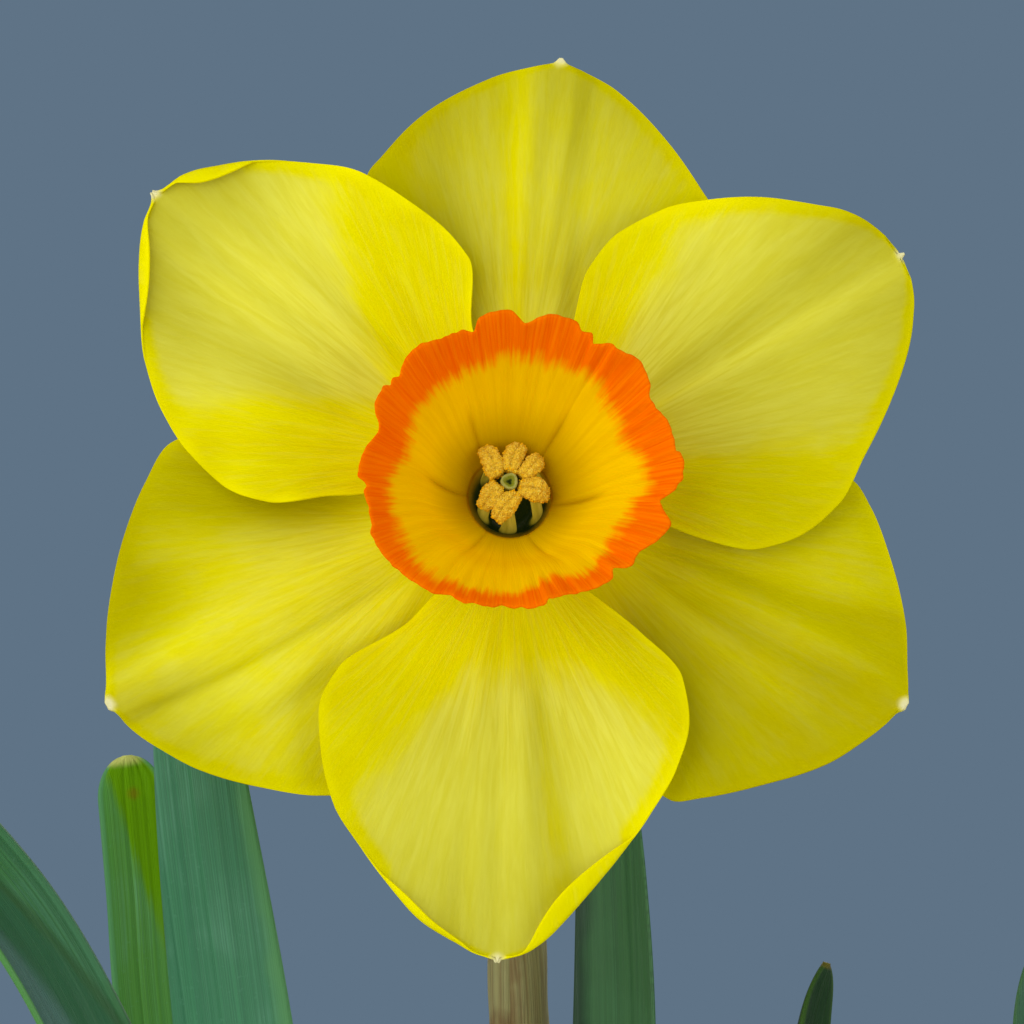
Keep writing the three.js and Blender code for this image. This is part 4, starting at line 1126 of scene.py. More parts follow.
def tepal_side(blade, seed, sign, reach_at, curl, r, middle, rib_waves):
    """Places, heights and marks of one side of a tepal, from its middle to its rolled margin."""
    start, roll, degrees = curl
    tip = blade["tip"]
    flats = np.concatenate((np.linspace(0, 1, TEPAL_FLATS + 1), np.ones(TEPAL_CURLS)))[None]
    curls = np.concatenate((np.zeros(TEPAL_FLATS + 1), np.linspace(0, 1, TEPAL_CURLS + 1)[1:]))[None]
    width = sign * (sign * reach_at(r) - middle) - TEPAL_MARGIN_THICKNESS / 2
    amount = np.sin(math.pi * np.clip((r - start) / (tip - 0.5 - start), 0, 1)) ** 0.8
    arc = np.minimum(0.4 + (roll - 0.4) * amount, width * 0.75)
    angle = np.radians(lerp(5, degrees, ease(r, start - 4, start + 2)))
    bend = np.minimum(arc / angle, lerp(SOFT_ROLL_RADIUS, ROLL_RADIUS, ease(angle, 0.2, 1.2)))
    rolled = np.minimum(arc * curls / bend, angle)
    flap = arc * curls - bend * rolled
    leaning = bend * np.sin(angle) + (arc - bend * angle) * np.cos(angle)
    crest = np.where(angle < math.pi / 2, leaning, bend)
    flat = (width - crest) * flats
    x = middle + sign * (flat + bend * np.sin(rolled) + flap * np.cos(angle))
    lifted = bend * (1 - np.cos(rolled)) + flap * np.sin(angle)
    reach = lerp(flat, sign * (x - middle), ease(angle, 0.5, 0.15))
    u = np.clip(reach / np.maximum(width, 1), 0, 1)
    radial = np.hypot(r, x)
    along = ease(radial, 8, 22) * ease(tip - r, -4, 14)
    high, place, ridge_reach, groove_shade = blade["ridge"]
    off = x - middle - place
    ridge = high * np.cos(np.clip(np.abs(off) / ridge_reach - 1, -1, 1) * math.pi)
    wave = blade["wave"][0] * np.sin(radial * 0.32 + blade["wave"][1] + sign) * u ** 3
    edge = 0.16 * np.sin(radial * 1.1 + seed + sign) * u ** 8
    fan = np.arctan2(x, r - VEIN_ROOT) / VEIN_SPREAD
    fold = sum(h * bump_at(fan, at, w) for at, h, w in blade["ribs"])
    fine = sum(high * np.sin(often * fan + start + 0.05 * r) for start, often, high in rib_waves)
    fine = fine * (1 - 0.5 * u) * ease(tip - r, 0, 12)
    pucker = 0.035 * np.sin(0.7 * x + 1.3 * np.sin(0.35 * r + seed)) * np.sin(0.5 * r + 5 * fan)
    height = (
        WHORL_LEVEL[blade["whorl"]]
        + TIP_FORWARD * ((radial - TEPAL_ROOT) / (tip - TEPAL_ROOT)) ** 1.4
        + (WHORL_CUP[blade["whorl"]] * u * u + ridge + wave + edge + fold + pucker) * along
        + fine * ease(radial, 9, 16)
        + lifted
    )
    span = np.maximum(width - crest + arc, 0.3)
    travelled = flat + arc * curls
    # groove carries the shade painted in the groove of the double ridge
    return dict(
        x=x, height=height, rim=span - travelled, fan=fan, radial=radial,
        groove=groove_shade * bump_at(off, 0, 0.7), over=np.broadcast_to(ease(rolled, 1.2, 2.2), x.shape),
        thin=np.broadcast_to(ease(travelled / span, 0.55, 1), x.shape),
    )


def tepal_shades(blade, sides, rows, from_tip):
    """The paler patch of painted sheen on a tepal, and its painted shade, at each of its points."""
    start, left_vein, right_vein, spread, strength = blade["bloom"]
    fan, lengthwise = sides["fan"], (rows - TEPAL_ROOT) / (blade["tip"] - TEPAL_ROOT)
    widening = spread * (lengthwise - 0.4)
    bloom = strength * ease(lengthwise, start - 0.12, start + 0.2) * ease(sides["rim"], 0.8, 3.0)
    bloom = bloom * ease(fan + widening, left_vein - 0.15, left_vein + 0.15)
    bloom = bloom * ease(fan - widening, right_vein + 0.15, right_vein - 0.15)
    for place, depth, width, begin in blade["bare"]:
        bloom = bloom * (1 - depth * bump_at(fan, place, width) * ease(lengthwise, begin, begin + 0.3))
    dusk = 0
    for place, depth, width, begin in blade["painted_shade_bands"]:
        dusk = dusk + depth * bump_at(fan, place, width) * ease(lengthwise, begin, begin + 0.3)
    dusk = (blade["dusk"][0] + dusk + sides["groove"]) * ease(lengthwise, 0.0, 0.45)
    dusk = dusk + blade["dusk"][1] * ease(lengthwise, 0.6, 1.05)
    return bloom, dusk * (1 - sides["over"]) * ease(from_tip, 0.5, 1.4)


def make_tepal(name, blade, seed):
    """One tepal: ridged middle, fine ribs, waved sides and rolled margins near the tip."""
    tip, lean, tooth = blade["tip"], blade["tip_offset"], blade["tooth"]
    turn = math.radians(blade["angle"])
    point = 0.35 * tooth
    outline = blade["outline"][:-1] + (
        (tip - TOOTH_LENGTH, tooth - lean, tooth + lean), (tip, point - lean, point + lean),
    )
    reaches = [track([(place, sides[side]) for place, *sides in outline]) for side in (0, 1)]
    s = 1 - (1 - np.linspace(0, 1, TEPAL_ROWS + 1)) ** 1.4
    r = lerp(TEPAL_ROOT, tip, s)[:, None]
    middle = lean * ease(r, 25, tip) ** 2
    random = np.random.default_rng(seed)
    rib_waves = [(random.uniform(0, 6.28), often, high) for often, high in FINE_RIBS]
    left, right = (
        tepal_side(blade, seed, sign, reach_at, curl, r, middle, rib_waves)
        for sign, reach_at, curl in zip((-1, 1), reaches, blade["curls"])
    )
    sides = {key: np.hstack((left[key][:, ::-1], right[key][:, 1:])) for key in left}
    x = sides["x"]
    rows = np.broadcast_to(r, x.shape)
    points = lift_onto_flower(
        rows * math.cos(turn) + x * math.sin(turn), rows * math.sin(turn) - x * math.cos(turn),
        sides["height"],
    )
    from_tip = np.hypot(tip - rows, x - lean)
    bloom, dusk = tepal_shades(blade, sides, rows, from_tip)
    thickness = lerp(TEPAL_THICKNESS, TEPAL_MARGIN_THICKNESS, sides["thin"])
    thickness = thickness * lerp(0.45, 1, ease(tip - rows, 0, 4)) + 0.3 * bump_at(from_tip, 0.7, 0.5)
    grain = np.stack((sides["fan"], np.full(x.shape, float(seed)), sides["radial"] / tip), -1)
    piece = sheet_piece(
        name, points, thickness, grain=grain, rim=sides["rim"], tip=from_tip, bloom=bloom, dusk=dusk,
    )
    keep(piece, name, "tepal", PETAL_SKIN)


def around(stations, degrees):
    """Closed curve through stations about the flower's axis."""
    return track(stations)((degrees + 180) % 360 - 180)


def throat_shift(amount):
    """How far the mouth of the throat sits off the flower's axis."""
    return np.asarray(amount)[..., None] * (MOUTH_PLACE[0] * FLOWER_RIGHT + MOUTH_PLACE[1] * FLOWER_UP)


def make_corona():
    """Ruffled cup: scalloped and notched rim, pleats in the flame band, creases from the throat."""
    profile = np.array(CORONA_PROFILE)
    lengths = run_lengths(profile)
    v = np.linspace(0, 1, CORONA_ROWS + 1)[:, None]
    degrees = np.linspace(-180, 180, CORONA_COLUMNS, endpoint=False)[None]
    a = np.radians(degrees)
    rise = track(tuple(zip(lengths, profile[:, 0])))(v * lengths[-1])
    reach = track(tuple(zip(lengths, profile[:, 1])))(v * lengths[-1])
    rim = around(CORONA_RIM, degrees)
    broad = sum(around(CORONA_RIM, degrees + shift) for shift in (-16, -8, 0, 8, 16)) / 5
    scallop = rim - broad
    crease = sum(
        depth * bump_at((degrees - at + 540) % 360 - 180, 0, CREASE_WIDTH)
        for at, depth in CORONA_CREASES
    )
    wander = 1.5 * np.sin(5 * a + 1) + np.sin(11 * a + 2)
    ruffle = 0.5 * np.sin(9 * a + 0.6) + 0.35 * np.sin(14 * a + 2.1)
    nibble = 0.07 * np.sin(61 * a + 2 * wander) + 0.05 * np.sin(97 * a + wander)
    pleat = np.sin(44 * a + 2.2 * np.sin(3 * a) + 1.2 * wander) * (0.6 + 0.4 * np.cos(a + 0.2))
    reach = reach + (broad - profile[-1, 1]) * v ** 2 + (scallop + 0.5 * nibble) * v ** 7
    reach = reach + 0.16 * np.cos(7 * a + 0.4) * ease(v, 0.1, 0.5) * (1 - v ** 4)
    reach = reach + 0.2 * pleat * ease(v, 0.5, 0.8) * (1 - 0.7 * v ** 8)
    rise = rise + (0.7 * ruffle + 0.5 * np.minimum(scallop, 0.3)) * v ** 5
    rise = rise - crease * bump_at(v, 0.25, 0.2) - 0.4 * crease * bump_at(v, 0.6, 0.2)
    squash = lerp(1, 0.965, v)
    turn = np.arctan2(squash * np.sin(a), np.cos(a))
    squashed = reach * np.hypot(np.cos(a), squash * np.sin(a))
    points = flower_point(lerp(reach, squashed, 1 - v ** 3), lerp(turn, a, v ** 3), rise)
    points = points + throat_shift(1 - ease(v, 0, 0.55))
    thickness = lerp(CORONA_THICKNESS, CORONA_RIM_THICKNESS, ease(v, 0.55, 0.95)) + 0 * a
    thickness = thickness * lerp(1, 0.4, ease(v, 0.96, 1))
    # The rise mark is the place up the wall, lowered along the creases and raised on the lower side, so
    # that the painted shade of the throat reaches further up the creases and less far on the lower side
    piece = sheet_piece(
        "corona", points, thickness, wrap=True, grain=ring_grain(a, v * 16, 10),
        orange=(v - around(FLAME_EDGE, degrees)) * lengths[-1],
        rise=v - 0.3 * crease * bump_at(v, 0.22, 0.2) + 0.14 * ease(-np.sin(a), 0.2, 0.9),
    )
    keep(piece, "corona", "cup", cup_finish())


def make_scatter_group():
    """Small rough grains strewn over a surface, more where its mark 'strewn' is higher."""
    inputs = (
        ("Geometry", "Geometry", None), ("Per square metre", "Float", None), ("Size", "Float", None),
        ("Uneven", "Float", None), ("Seed", "Int", None), ("Material", "Material", None),
    )
    outputs = (("Geometry", "Geometry"),)
    group, mixer, given, end = new_group("strewn grains", inputs, outputs, "Geometry")

    def random(low, high, **more):
        inputs = {0: low, 1: high, **more}
        return mixer.node("RandomValue", inputs, "FunctionNode", data_type="FLOAT_VECTOR").outputs[0]

    def sum_of(kind, a, b):
        return mixer.node("Math", {0: a, 1: b}, "ShaderNode", operation=kind).outputs[0]

    strewn = mixer.node("InputNamedAttribute", {"Name": "strewn"}).outputs["Attribute"]
    inputs = {
        "Mesh": given["Geometry"], "Seed": given["Seed"],
        "Density": sum_of("MULTIPLY", given["Per square metre"], strewn),
    }
    points = mixer.node("DistributePointsOnFaces", inputs).outputs["Points"]
    inputs = {"Subdivisions": 1, "Radius": given["Size"]}
    grain = mixer.node("MeshIcoSphere", inputs).outputs["Mesh"]
    low = sum_of("SUBTRACT", 1.0, given["Uneven"])
    high = sum_of("ADD", 1.0, given["Uneven"])
    inputs = {
        "Points": points, "Instance": grain, "Scale": random(low, high, Seed=given["Seed"]),
        "Rotation": random((0.0, 0.0, 0.0), (6.28, 6.28, 6.28)),
    }
    grains = mixer.node("InstanceOnPoints", inputs).outputs[0]
    grains = mixer.node("RealizeInstances", {0: grains}).outputs[0]
    inputs = {"Geometry": grains, "Material": given["Material"]}
    mixer.feed(end[0], mixer.node("SetMaterial", inputs).outputs[0])
    return group


SCATTER = make_scatter_group()


def strew(name, host, per_square_metre, size, uneven, seed, finish):
    """Plain mesh of grains strewn over host, which has the point mark 'strewn'."""
    modifier = host.modifiers.new("strewn", "NODES")
    modifier.node_group = SCATTER
    values = {
        "Per square metre": per_square_metre, "Size": size * MM, "Uneven": uneven, "Seed": seed,
        "Material": finish,
    }
    for item in SCATTER.interface.items_tree:
        if item.in_out == "INPUT" and item.name in values:
            modifier[item.identifier] = values[item.name]
    mesh = mesh_after(host, modifier)
    mesh.name = name
    mesh.shade_smooth()
    return new_object(name, mesh)


def make_stamens():
    """Six stamens: grooved two-lobed anthers with strewn pollen, on filaments from one ring."""
    turns = circle(44)
    points, faces, facing, count = [], [], [], 0
    for index, (inner_x, inner_y, outer_x, outer_y, width) in enumerate(ANTHERS):
        inner = flower_place(inner_x, inner_y, ANTHER_RISE[0])
        outer = flower_place(outer_x, outer_y, ANTHER_RISE[1])
        along = unit(outer - inner)
        across = unit(np.cross(FLOWER_AXIS, along))
        up = np.cross(along, across)
        s = np.linspace(0, 1, 44)
        swell = 0.25 + 0.75 * np.sin(math.pi * np.clip(s * 0.84 + 0.09, 0, 1)) ** 0.6
        swell = swell * (1 + 0.06 * np.sin(8 * s + index))
        side, front = np.cos(turns), np.sin(turns)
        groove = 1 - 0.42 * np.exp(-((side / 0.2) ** 2)) * (front > 0)
        lobe = (0.84 + 0.2 * np.abs(side)) * groove
        bow = 0.2 * np.sin(math.pi * s) * (1 if index % 2 else -1)
        arch = 0.35 * np.sin(math.pi * s)
        centre = inner + s[:, None] * (outer - inner) + bow[:, None] * across + arch[:, None] * up
        girth = (width / 2 * swell)[:, None] * lobe
        ring = (
            centre[:, None]
            + (girth * side)[..., None] * across
            + (girth * front * 0.8)[..., None] * up
        )
        rough = grit(ring, 0.36, index * 7.1, 2)[..., None]
        ring = ring + unit(ring - centre[:, None]) * rough * 0.17
        ring_points, ring_faces = loft(ring)
        points.append(ring_points)
        faces += [tuple(corner + count for corner in face) for face in ring_faces]
        open_side = ease(front, 0.15, 0.6) * ease(s, 0.02, 0.16)[:, None] * ease(s, 0.98, 0.84)[:, None]
        facing.append(np.concatenate((open_side.ravel(), (0, 0))))
        count += len(ring_points)
    points = np.vstack(points)
    facing = np.concatenate(facing)
    anthers = piece_from("anthers", points, faces, strewn=facing)
    coat = anther_finish("pollen coat", (170, 112, 0), (244, 192, 24), (252, 214, 62))
    pale = anther_finish("pale pollen", (224, 174, 14), (255, 230, 84), (255, 226, 100))
    ochre = anther_finish("ochre pollen", (222, 152, 0), (255, 200, 0), (255, 200, 20))
    open_grains = strew("pollen_grains", anthers, *OPEN_POLLEN, pale)
    anthers.data.attributes["strewn"].data.foreach_set("value", (1 - facing).astype(np.float32))
    side_grains = strew("pollen_side_grains", anthers, *SIDE_POLLEN, ochre)
    keep(anthers, "stamens", "pollen", coat)
    keep(open_grains, "stamens", "pollen")
    keep(side_grains, "stamens", "pollen")


def make_filaments():
    """The filaments and the ring that they stand on, as one piece."""
    ring_turns = circle(48)
    section = ((2.2, -1), (2.75, -1), (3.3, -1), (3.3, 0), (3.3, 1), (2.75, 1), (2.2, 1), (2.2, 0))
    ring = np.array([flower_point(r, ring_turns, STAMEN_RING_DEPTH + rise) for r, rise in section])
    points, faces = [ring.reshape(-1, 3)], wrapped_quads(ring, True)[:, ::-1].tolist()
    grains = [ring_grain(ring_turns, np.zeros((8, 48)), 3).reshape(-1, 3)]
    turns = circle(20)
    s = np.linspace(0, 1, 30)
    for degrees, (inner_x, inner_y, outer_x, outer_y, _) in zip(FILAMENT_ANGLES, ANTHERS):
        angle = math.radians(degrees)
        across = flower_point(1.0, angle + math.pi / 2, 0.0) - THROAT
        x, y = lerp(inner_x, outer_x, 0.5), lerp(inner_y, outer_y, 0.5)
        path = [
            flower_point(2.75, angle, STAMEN_RING_DEPTH),
            flower_point(FILAMENT_REACH, angle, STAMEN_RING_DEPTH / 2) + throat_shift(0.2),
            flower_point(FILAMENT_REACH, angle, 0.8) + throat_shift(0.4),
            flower_place(x, y, lerp(*ANTHER_RISE, 0.5)),
        ]
        places, ways, length = follow(path, s)
        taper = lerp(1.05, 0.75, ease(s, 0.3, 1))
        tube = rings_along(
            places, ways, across, FILAMENT_WIDTH / 2 * taper, FILAMENT_DEPTH / 2 * taper, turns,
        )
        tube_points, tube_faces = loft(tube)
        shift = sum(map(len, points))
        points.append(tube_points)
        faces += [tuple(corner + shift for corner in face) for face in tube_faces]
        stalk = ring_grain(turns, np.linspace(0, length, 30)[:, None], 1).reshape(-1, 3)
        grains.append(np.vstack((stalk, stalk[:1], stalk[-1:])))
    points = np.vstack(points)
    rise = (points - THROAT) @ FLOWER_AXIS
    filaments = piece_from("filaments", points, faces, grain=np.vstack(grains), rise=rise)
    finish = filament_finish("filament skin", (158, 144, 30), (198, 182, 62))
    keep(filaments, "stamens", "pollen", finish)


def make_pistil():
    """Style rising through the tube to a three-lobed stigma with a hollow middle."""
    turns = circle(48)
    girths = (
        (-TUBE_LENGTH, 0.75, 0, 0), (-TUBE_LENGTH + 6, STYLE_RADIUS, 0, 0), (-8, STYLE_RADIUS, 0, 0),
        (STIGMA_RISE - 1.2, STYLE_RADIUS, 0, 0), (STIGMA_RISE - 0.7, 0.68, 0.06, 0),
        (STIGMA_RISE - 0.35, 0.84, 0.05, 0), (STIGMA_RISE, 0.94, 0.05, 0),
        (STIGMA_RISE + 0.25, 0.92, 0.05, 0), (STIGMA_RISE + 0.36, 0.78, 0.06, 0.05),
        (STIGMA_RISE + 0.32, 0.62, 0.09, 0.35), (STIGMA_RISE + 0.1, 0.4, 0.16, 0.6),
        (STIGMA_RISE - 0.1, 0.2, 0.3, 1), (STIGMA_RISE - 0.3, 0.08, 0.2, 1),
    )
    steps = np.arange(len(girths))
    fine = np.linspace(0, len(girths) - 1, 66)
    rise, radius, lobe, hollow = (
        track(tuple(zip(steps, column)))(fine)[:, None] for column in zip(*girths)
    )
    rings = flower_point(radius * (1 + lobe * np.cos(3 * turns - math.radians(165))), turns, rise)
    rough = grit(rings, 0.3, 2.0, 2) * 0.06 * (radius > 0.6)
    rings = rings + rough[..., None] * unit(rings - flower_point(0.0, 0.0, rise))
    lean = ease(rise, -8, STIGMA_RISE)[..., None]
    rings = rings + lean * (STIGMA_PLACE[0] * FLOWER_RIGHT + STIGMA_PLACE[1] * FLOWER_UP)
    piece = loft_piece("pistil", rings, hollow=hollow + 0 * turns, grain=ring_grain(turns, rise, 1))
    keep(piece, "pistil", "stigma", stigma_finish())


def make_tube():
    """Perianth tube with the collar that carries the tepals and the corona."""
    profile = (
        (1.4, -TUBE_LENGTH), (3.3, -TUBE_LENGTH), (3.5, -TUBE_LENGTH * 0.6), (4.5, -6), (5.6, -3.2),
        (COLLAR_RADIUS, -1.9), (COLLAR_RADIUS, COLLAR_TOP - 0.4), (COLLAR_RADIUS - 0.5, COLLAR_TOP),
        (5.0, COLLAR_TOP), (4.6, 0.4), (4.2, -1.4), (TUBE_BORE + 0.1, -3.6), (TUBE_BORE, -6),
        (2.4, -TUBE_LENGTH * 0.7), (1.4, -TUBE_LENGTH + 2), (1.4, -TUBE_LENGTH),
    )
    fine = soften(profile, 0.6, 0.8)[:-1]
    turns = circle(96)
    outside = ease(fine[:, 0], 2.6, 3.6)[:, None]
    reach = fine[:, :1] * (1 + 0.02 * np.cos(6 * turns) * outside * (fine[:, 1:] < -2))
    rings = flower_point(reach, turns, fine[:, 1:])
    grain = ring_grain(turns, fine[:, 1:], 3).reshape(-1, 3)
    bore_side = ease(fine[:, :1], 6.0, 5.0) * ease(fine[:, 1:], -5.0, 1.0) + 0 * turns
    rings = rings + throat_shift(bore_side)
    lengths = run_lengths(fine)
    mouth = lengths[np.argmin(np.hypot(*(fine - (5.0, COLLAR_TOP)).T))]
    inside = ease(lengths, mouth - 0.8, mouth)[:, None] + 0 * turns
    piece = piece_from(
        "perianth_tube", rings.reshape(-1, 3), wrapped_quads(rings, True).tolist(), grain=grain,
        inside=inside.ravel(),
    )
    finish, mixer = new_finish("tube skin")
    marks = mixer.mark("grain", "Vector")
    rise = mixer.part(marks, "Z")
    lines = mixer.fibres(marks, 3.0, 0.08, 0.3)
    colour = mixer.blend(mixer.span(rise, -22.0, -3.0), (126, 150, 56), (214, 204, 40))
    colour = mixer.blend(mixer.span(lines["Lines"], 0.5, 0.1, 0, 0.5), colour, (120, 140, 30))
    colour = mixer.blend(mixer.times(lines["Bands"], 0.3), colour, (206, 204, 90))
    # Painted shade: inside the mouth the wall darkens to near black deep down the tube, and the same
    # colour is given off as a painted glow
    throat = mixer.blend(mixer.span(rise, -3.6, 1.0), (60, 54, 6), (156, 112, 0))
    throat = mixer.blend(mixer.span(rise, -2.6, -5.0), throat, (20, 36, 12))
    colour = mixer.blend(mixer.mark("inside"), colour, throat)
    lit = mixer.blend(mixer.mark("inside"), (0, 0, 0, 1), throat)
    normal = mixer.relief(lines["Lines"], 0.08, 0.6)
    surface = skin(mixer, colour, 0.48, normal, 0.4, 0.0, lit, 0.3)
    finish_with(mixer, surface, (200, 196, 20), 0.15, normal)
    keep(piece, "perianth_tube", "tube", finish)


def make_stem():
    """Scape, pedicel and three-sided ovary as one stem, with fine ribs along it."""
    ovary_foot = TUBE_LENGTH + SEAT_GAP + 13
    path = list(STEM_PATH) + [
        flower_point(0.0, 0.0, -ovary_foot), flower_point(0.0, 0.0, -ovary_foot + 6.5),
        flower_point(0.0, 0.0, -TUBE_LENGTH - SEAT_GAP),
    ]
    length = follow(path, [0])[2]
    scape_end = (SCAPE_TOP - STEM_PATH[0][2]) / length
    ovary_start = 1 - ovary_foot * 0.36 / length - 0.006
    girths = track((
        (0, 3.9), (scape_end * 0.5, 3.7), (scape_end - 0.03, 3.3), (scape_end - 0.004, 3.4),
        (scape_end + 0.004, PEDICEL_RADIUS), (ovary_start - 0.02, PEDICEL_RADIUS),
        (ovary_start + 0.012, 3), (1 - 0.02, OVARY_RADIUS), (1, 3.4),
    ))
    s = np.concatenate((
        np.linspace(0, scape_end - 0.03, 110, endpoint=False),
        np.linspace(scape_end - 0.03, scape_end + 0.03, 40, endpoint=False),
        np.linspace(scape_end + 0.03, 1, 70),
    ))
    places, ways, _ = follow(path, s)
    turns = circle(56)
    flatten = lerp(0.82, 1, ease(s, scape_end - 0.05, scape_end))
    rings = rings_along(places, ways, np.array((1.0, 0, 0)), girths(s), girths(s) * flatten, turns)
    ribs = 0.045 * np.sin(14 * turns + 0.4) + 0.03 * np.sin(23 * turns + 1)
    lobes = 0.22 * np.cos(3 * turns) * ease(s, ovary_start, ovary_start + 0.015)[:, None]
    rings = rings + (ribs + lobes)[..., None] * unit(rings - places[:, None])
    along = (s * length)[:, None] + 0 * turns
    piece = loft_piece("flower_stem", rings, grain=ring_grain(turns, along, 3), along=along)
    keep(piece, "flower_stem", "stem", stem_finish())


def make_spathe():
    """Papery sheath round the pedicel, wrinkled along its veins and split down the front."""
    cover = track(((0, 192), (0.5, 190), (0.68, 130), (0.85, 66), (1, 14)))
    radius = track(((0, 2.95), (0.12, 3.25), (0.45, 3.1), (0.75, 3.6), (1, 4)))
    lean = track(((0, 0), (0.5, 0.3), (0.8, 2.6), (1, 7)))
    s = np.linspace(0, 1, 96)[:, None]
    j = np.linspace(0, 1, 49)[None]
    turn = np.radians(90 + cover(s) * (1 - 2 * j))
    reach = radius(s) + 0.62 * ease(j, 0.45, 0.95)
    wrinkle = 0.09 * np.sin(38 * j + 2 * np.sin(5 * s)) * ease(s, 0.02, 0.2)
    wrinkle = wrinkle + 0.07 * np.sin(23 * s + 9 * j)
    edge = 0.2 * np.sin(31 * s + 2) * (np.abs(2 * j - 1) ** 10)
    reach = reach + wrinkle + edge * ease(s, 0.1, 0.4)
    points = np.stack((
        0.8 + reach * np.cos(turn) - 1.2 * s,
        17 + lean(s) + reach * np.sin(turn),
        SPATHE_BASE + SPATHE_HEIGHT * s + 0 * j,
    ), -1)
    half_round = np.radians(cover(s)) * radius(s)
    rim = half_round * (1 - np.abs(2 * j - 1))
    grain = np.stack((half_round * (2 * j - 1) / 3, 0 * s + 0 * j, SPATHE_HEIGHT * s + 0 * j), -1)
    thickness = SPATHE_THICKNESS * (1 - 0.5 * s) + 0 * j
    piece = sheet_piece("spathe", points, thickness, grain=grain, rim=rim)
    finish = papery_finish("spathe paper", (188, 184, 128), (158, 150, 96), (128, 98, 60), 0.3)
    keep(piece, "spathe", "dry_sheath", finish)


LEAF_LOOKS = {
    "leaf_far_left": dict(
        body=(34, 94, 48), streak=(46, 108, 50), margin=(74, 136, 64),
        bloom=(64, 122, 86), crease=(-4.5, 0.2), margin_side=-1,
    ),
    # On the broad leaf the margin band on one side is painted light, where light falls on that side of
    # the channel
    "leaf_broad": dict(
        body=(40, 108, 70), streak=(54, 124, 82), margin=(78, 140, 82),
        bloom=(84, 142, 110), margin_width=1.3, margin_side=-1,
    ),
    "leaf_narrow": dict(
        body=(80, 142, 58), streak=(94, 154, 66), margin=(86, 146, 90),
        bloom=(102, 160, 108), tip=(192, 198, 108), tip_reach=1.0,
        patch=((96, 148, 0), -3.7, 1.0, 30.0), gloss_level=0.05,
    ),
    # On the right leaf the margin band on one side is painted shade, where that side of the channel
    # lies in shadow
    "leaf_right": dict(
        body=(42, 96, 46), streak=(56, 110, 54), margin=(26, 64, 34),
        bloom=(68, 120, 74), margin_width=1.5, margin_side=-1,
    ),
    "leaf_offset_left": dict(
        body=(22, 54, 24), streak=(34, 66, 28), margin=(52, 84, 30),
        bloom=(36, 68, 38), tip=(96, 92, 28), tip_reach=0.5, gloss_level=0.1,
    ),
    "leaf_offset_right": dict(
        body=(36, 86, 56), streak=(46, 98, 62), margin=(56, 108, 56),
        bloom=(64, 104, 84), tip=(140, 130, 60), tip_reach=0.8,
    ),
}


def make_leaf(name, leaf, seed):
    """Strap leaf along its spine: channelled upper face, fine ribs and a blunt tip."""
    s = 1 - (1 - np.linspace(0, 1, LEAF_ROWS + 1)) ** 1.9
    places, ways, length = follow(leaf["spine"], s)
    face_foot, face_tip = (np.array(v, float) for v in leaf["face"])
    face = face_foot + (face_tip - face_foot) * ease(s, 0, 0.75)[:, None]
    side = unit(np.cross(ways, face))
    up = np.cross(side, ways)
    to_tip = np.clip(length * (1 - s) / leaf["blunt"], 0, 1)
    waist = lerp(0.68, 1, ease(s, 0.05, 0.5))
    half = np.maximum(leaf["half_width"] * waist * np.sqrt(1 - (1 - to_tip) ** 2), 0.6)[:, None]
    bend = lerp(leaf["channel"][0], leaf["channel"][1], ease(s, 0, 0.4))[:, None]
    c = np.linspace(-1, 1, LEAF_COLUMNS + 1)[None]
    turn = half / bend * c
    sideways = bend * np.sin(turn)
    lifted = bend * (1 - np.cos(turn))
    along = (s * length)[:, None]
    wave = 0.22 * np.sin(along * 0.085 + seed) * np.sign(c) * np.abs(c) ** 3
    wave = wave * ease(s, 0.1, 0.3)[:, None]
    ribs = 0.05 * np.sin(19 * c + seed) + 0.035 * np.sin(31 * c + 2 * seed)
    points = (
        places[:, None]
        + sideways[..., None] * side[:, None]
        + (lifted + (wave + ribs) * ease(half, 0.8, 3))[..., None] * up[:, None]
    )
    thickness = lerp(0.45, 1, to_tip)[:, None] * lerp(2, 0.62, np.abs(c) ** 2.2)
    grain = np.stack((half * c, np.full(points.shape[:2], seed * 3.0), along + 0 * c), -1)
    piece = sheet_piece(
        name, points, thickness,
        grain=grain, rim=half * (1 - np.abs(c)), tip=length - along + 0 * c,
    )
    keep(piece, name, "leaf", leaf_finish(name.replace("_", " ") + " skin", **LEAF_LOOKS[name]))


def bulb_outside(bulb, margin, top):
    """Outside of a bulb, swollen by a margin, from its foot up to the given height."""
    height = bulb["nose"] - bulb["foot"]
    neck, girth, foot = bulb["neck"], bulb["girth"], bulb["foot"]
    return [
        (0, foot - margin), (girth * 0.34, foot - margin),
        (girth * 0.78 + margin, foot + height * 0.08), (girth + margin, foot + height * 0.32),
        (girth * 0.93 + margin, foot + height * 0.52),
        (lerp(neck, girth, 0.35) + margin, foot + height * 0.74), (neck + margin, foot + height * 0.92),
        (neck - 0.5 + margin, top),
    ]


def widened(rings, share):
    """Rings drawn out from the upright axis by a share at each point."""
    return rings * share[..., None] ** np.array((1, 1, 0))


def turned(name, profile, x, y, sides, shape=None, **marks):
    """Solid turned about an upright axis. The profile starts and ends on the axis."""
    turns = circle(sides)
    radius, z = profile[1:-1, :1], profile[1:-1, 1:]
    rings = np.stack((radius * np.cos(turns), radius * np.sin(turns), z + 0 * turns), -1)
    if shape is not None:
        rings = shape(rings, turns)
    rings = rings + (x, y, 0)
    marks = {mark: np.broadcast_to(at[1:-1, None], rings.shape[:2]) for mark, at in marks.items()}
    return loft_piece(name, rings, grain=ring_grain(turns, z, 10), **marks)


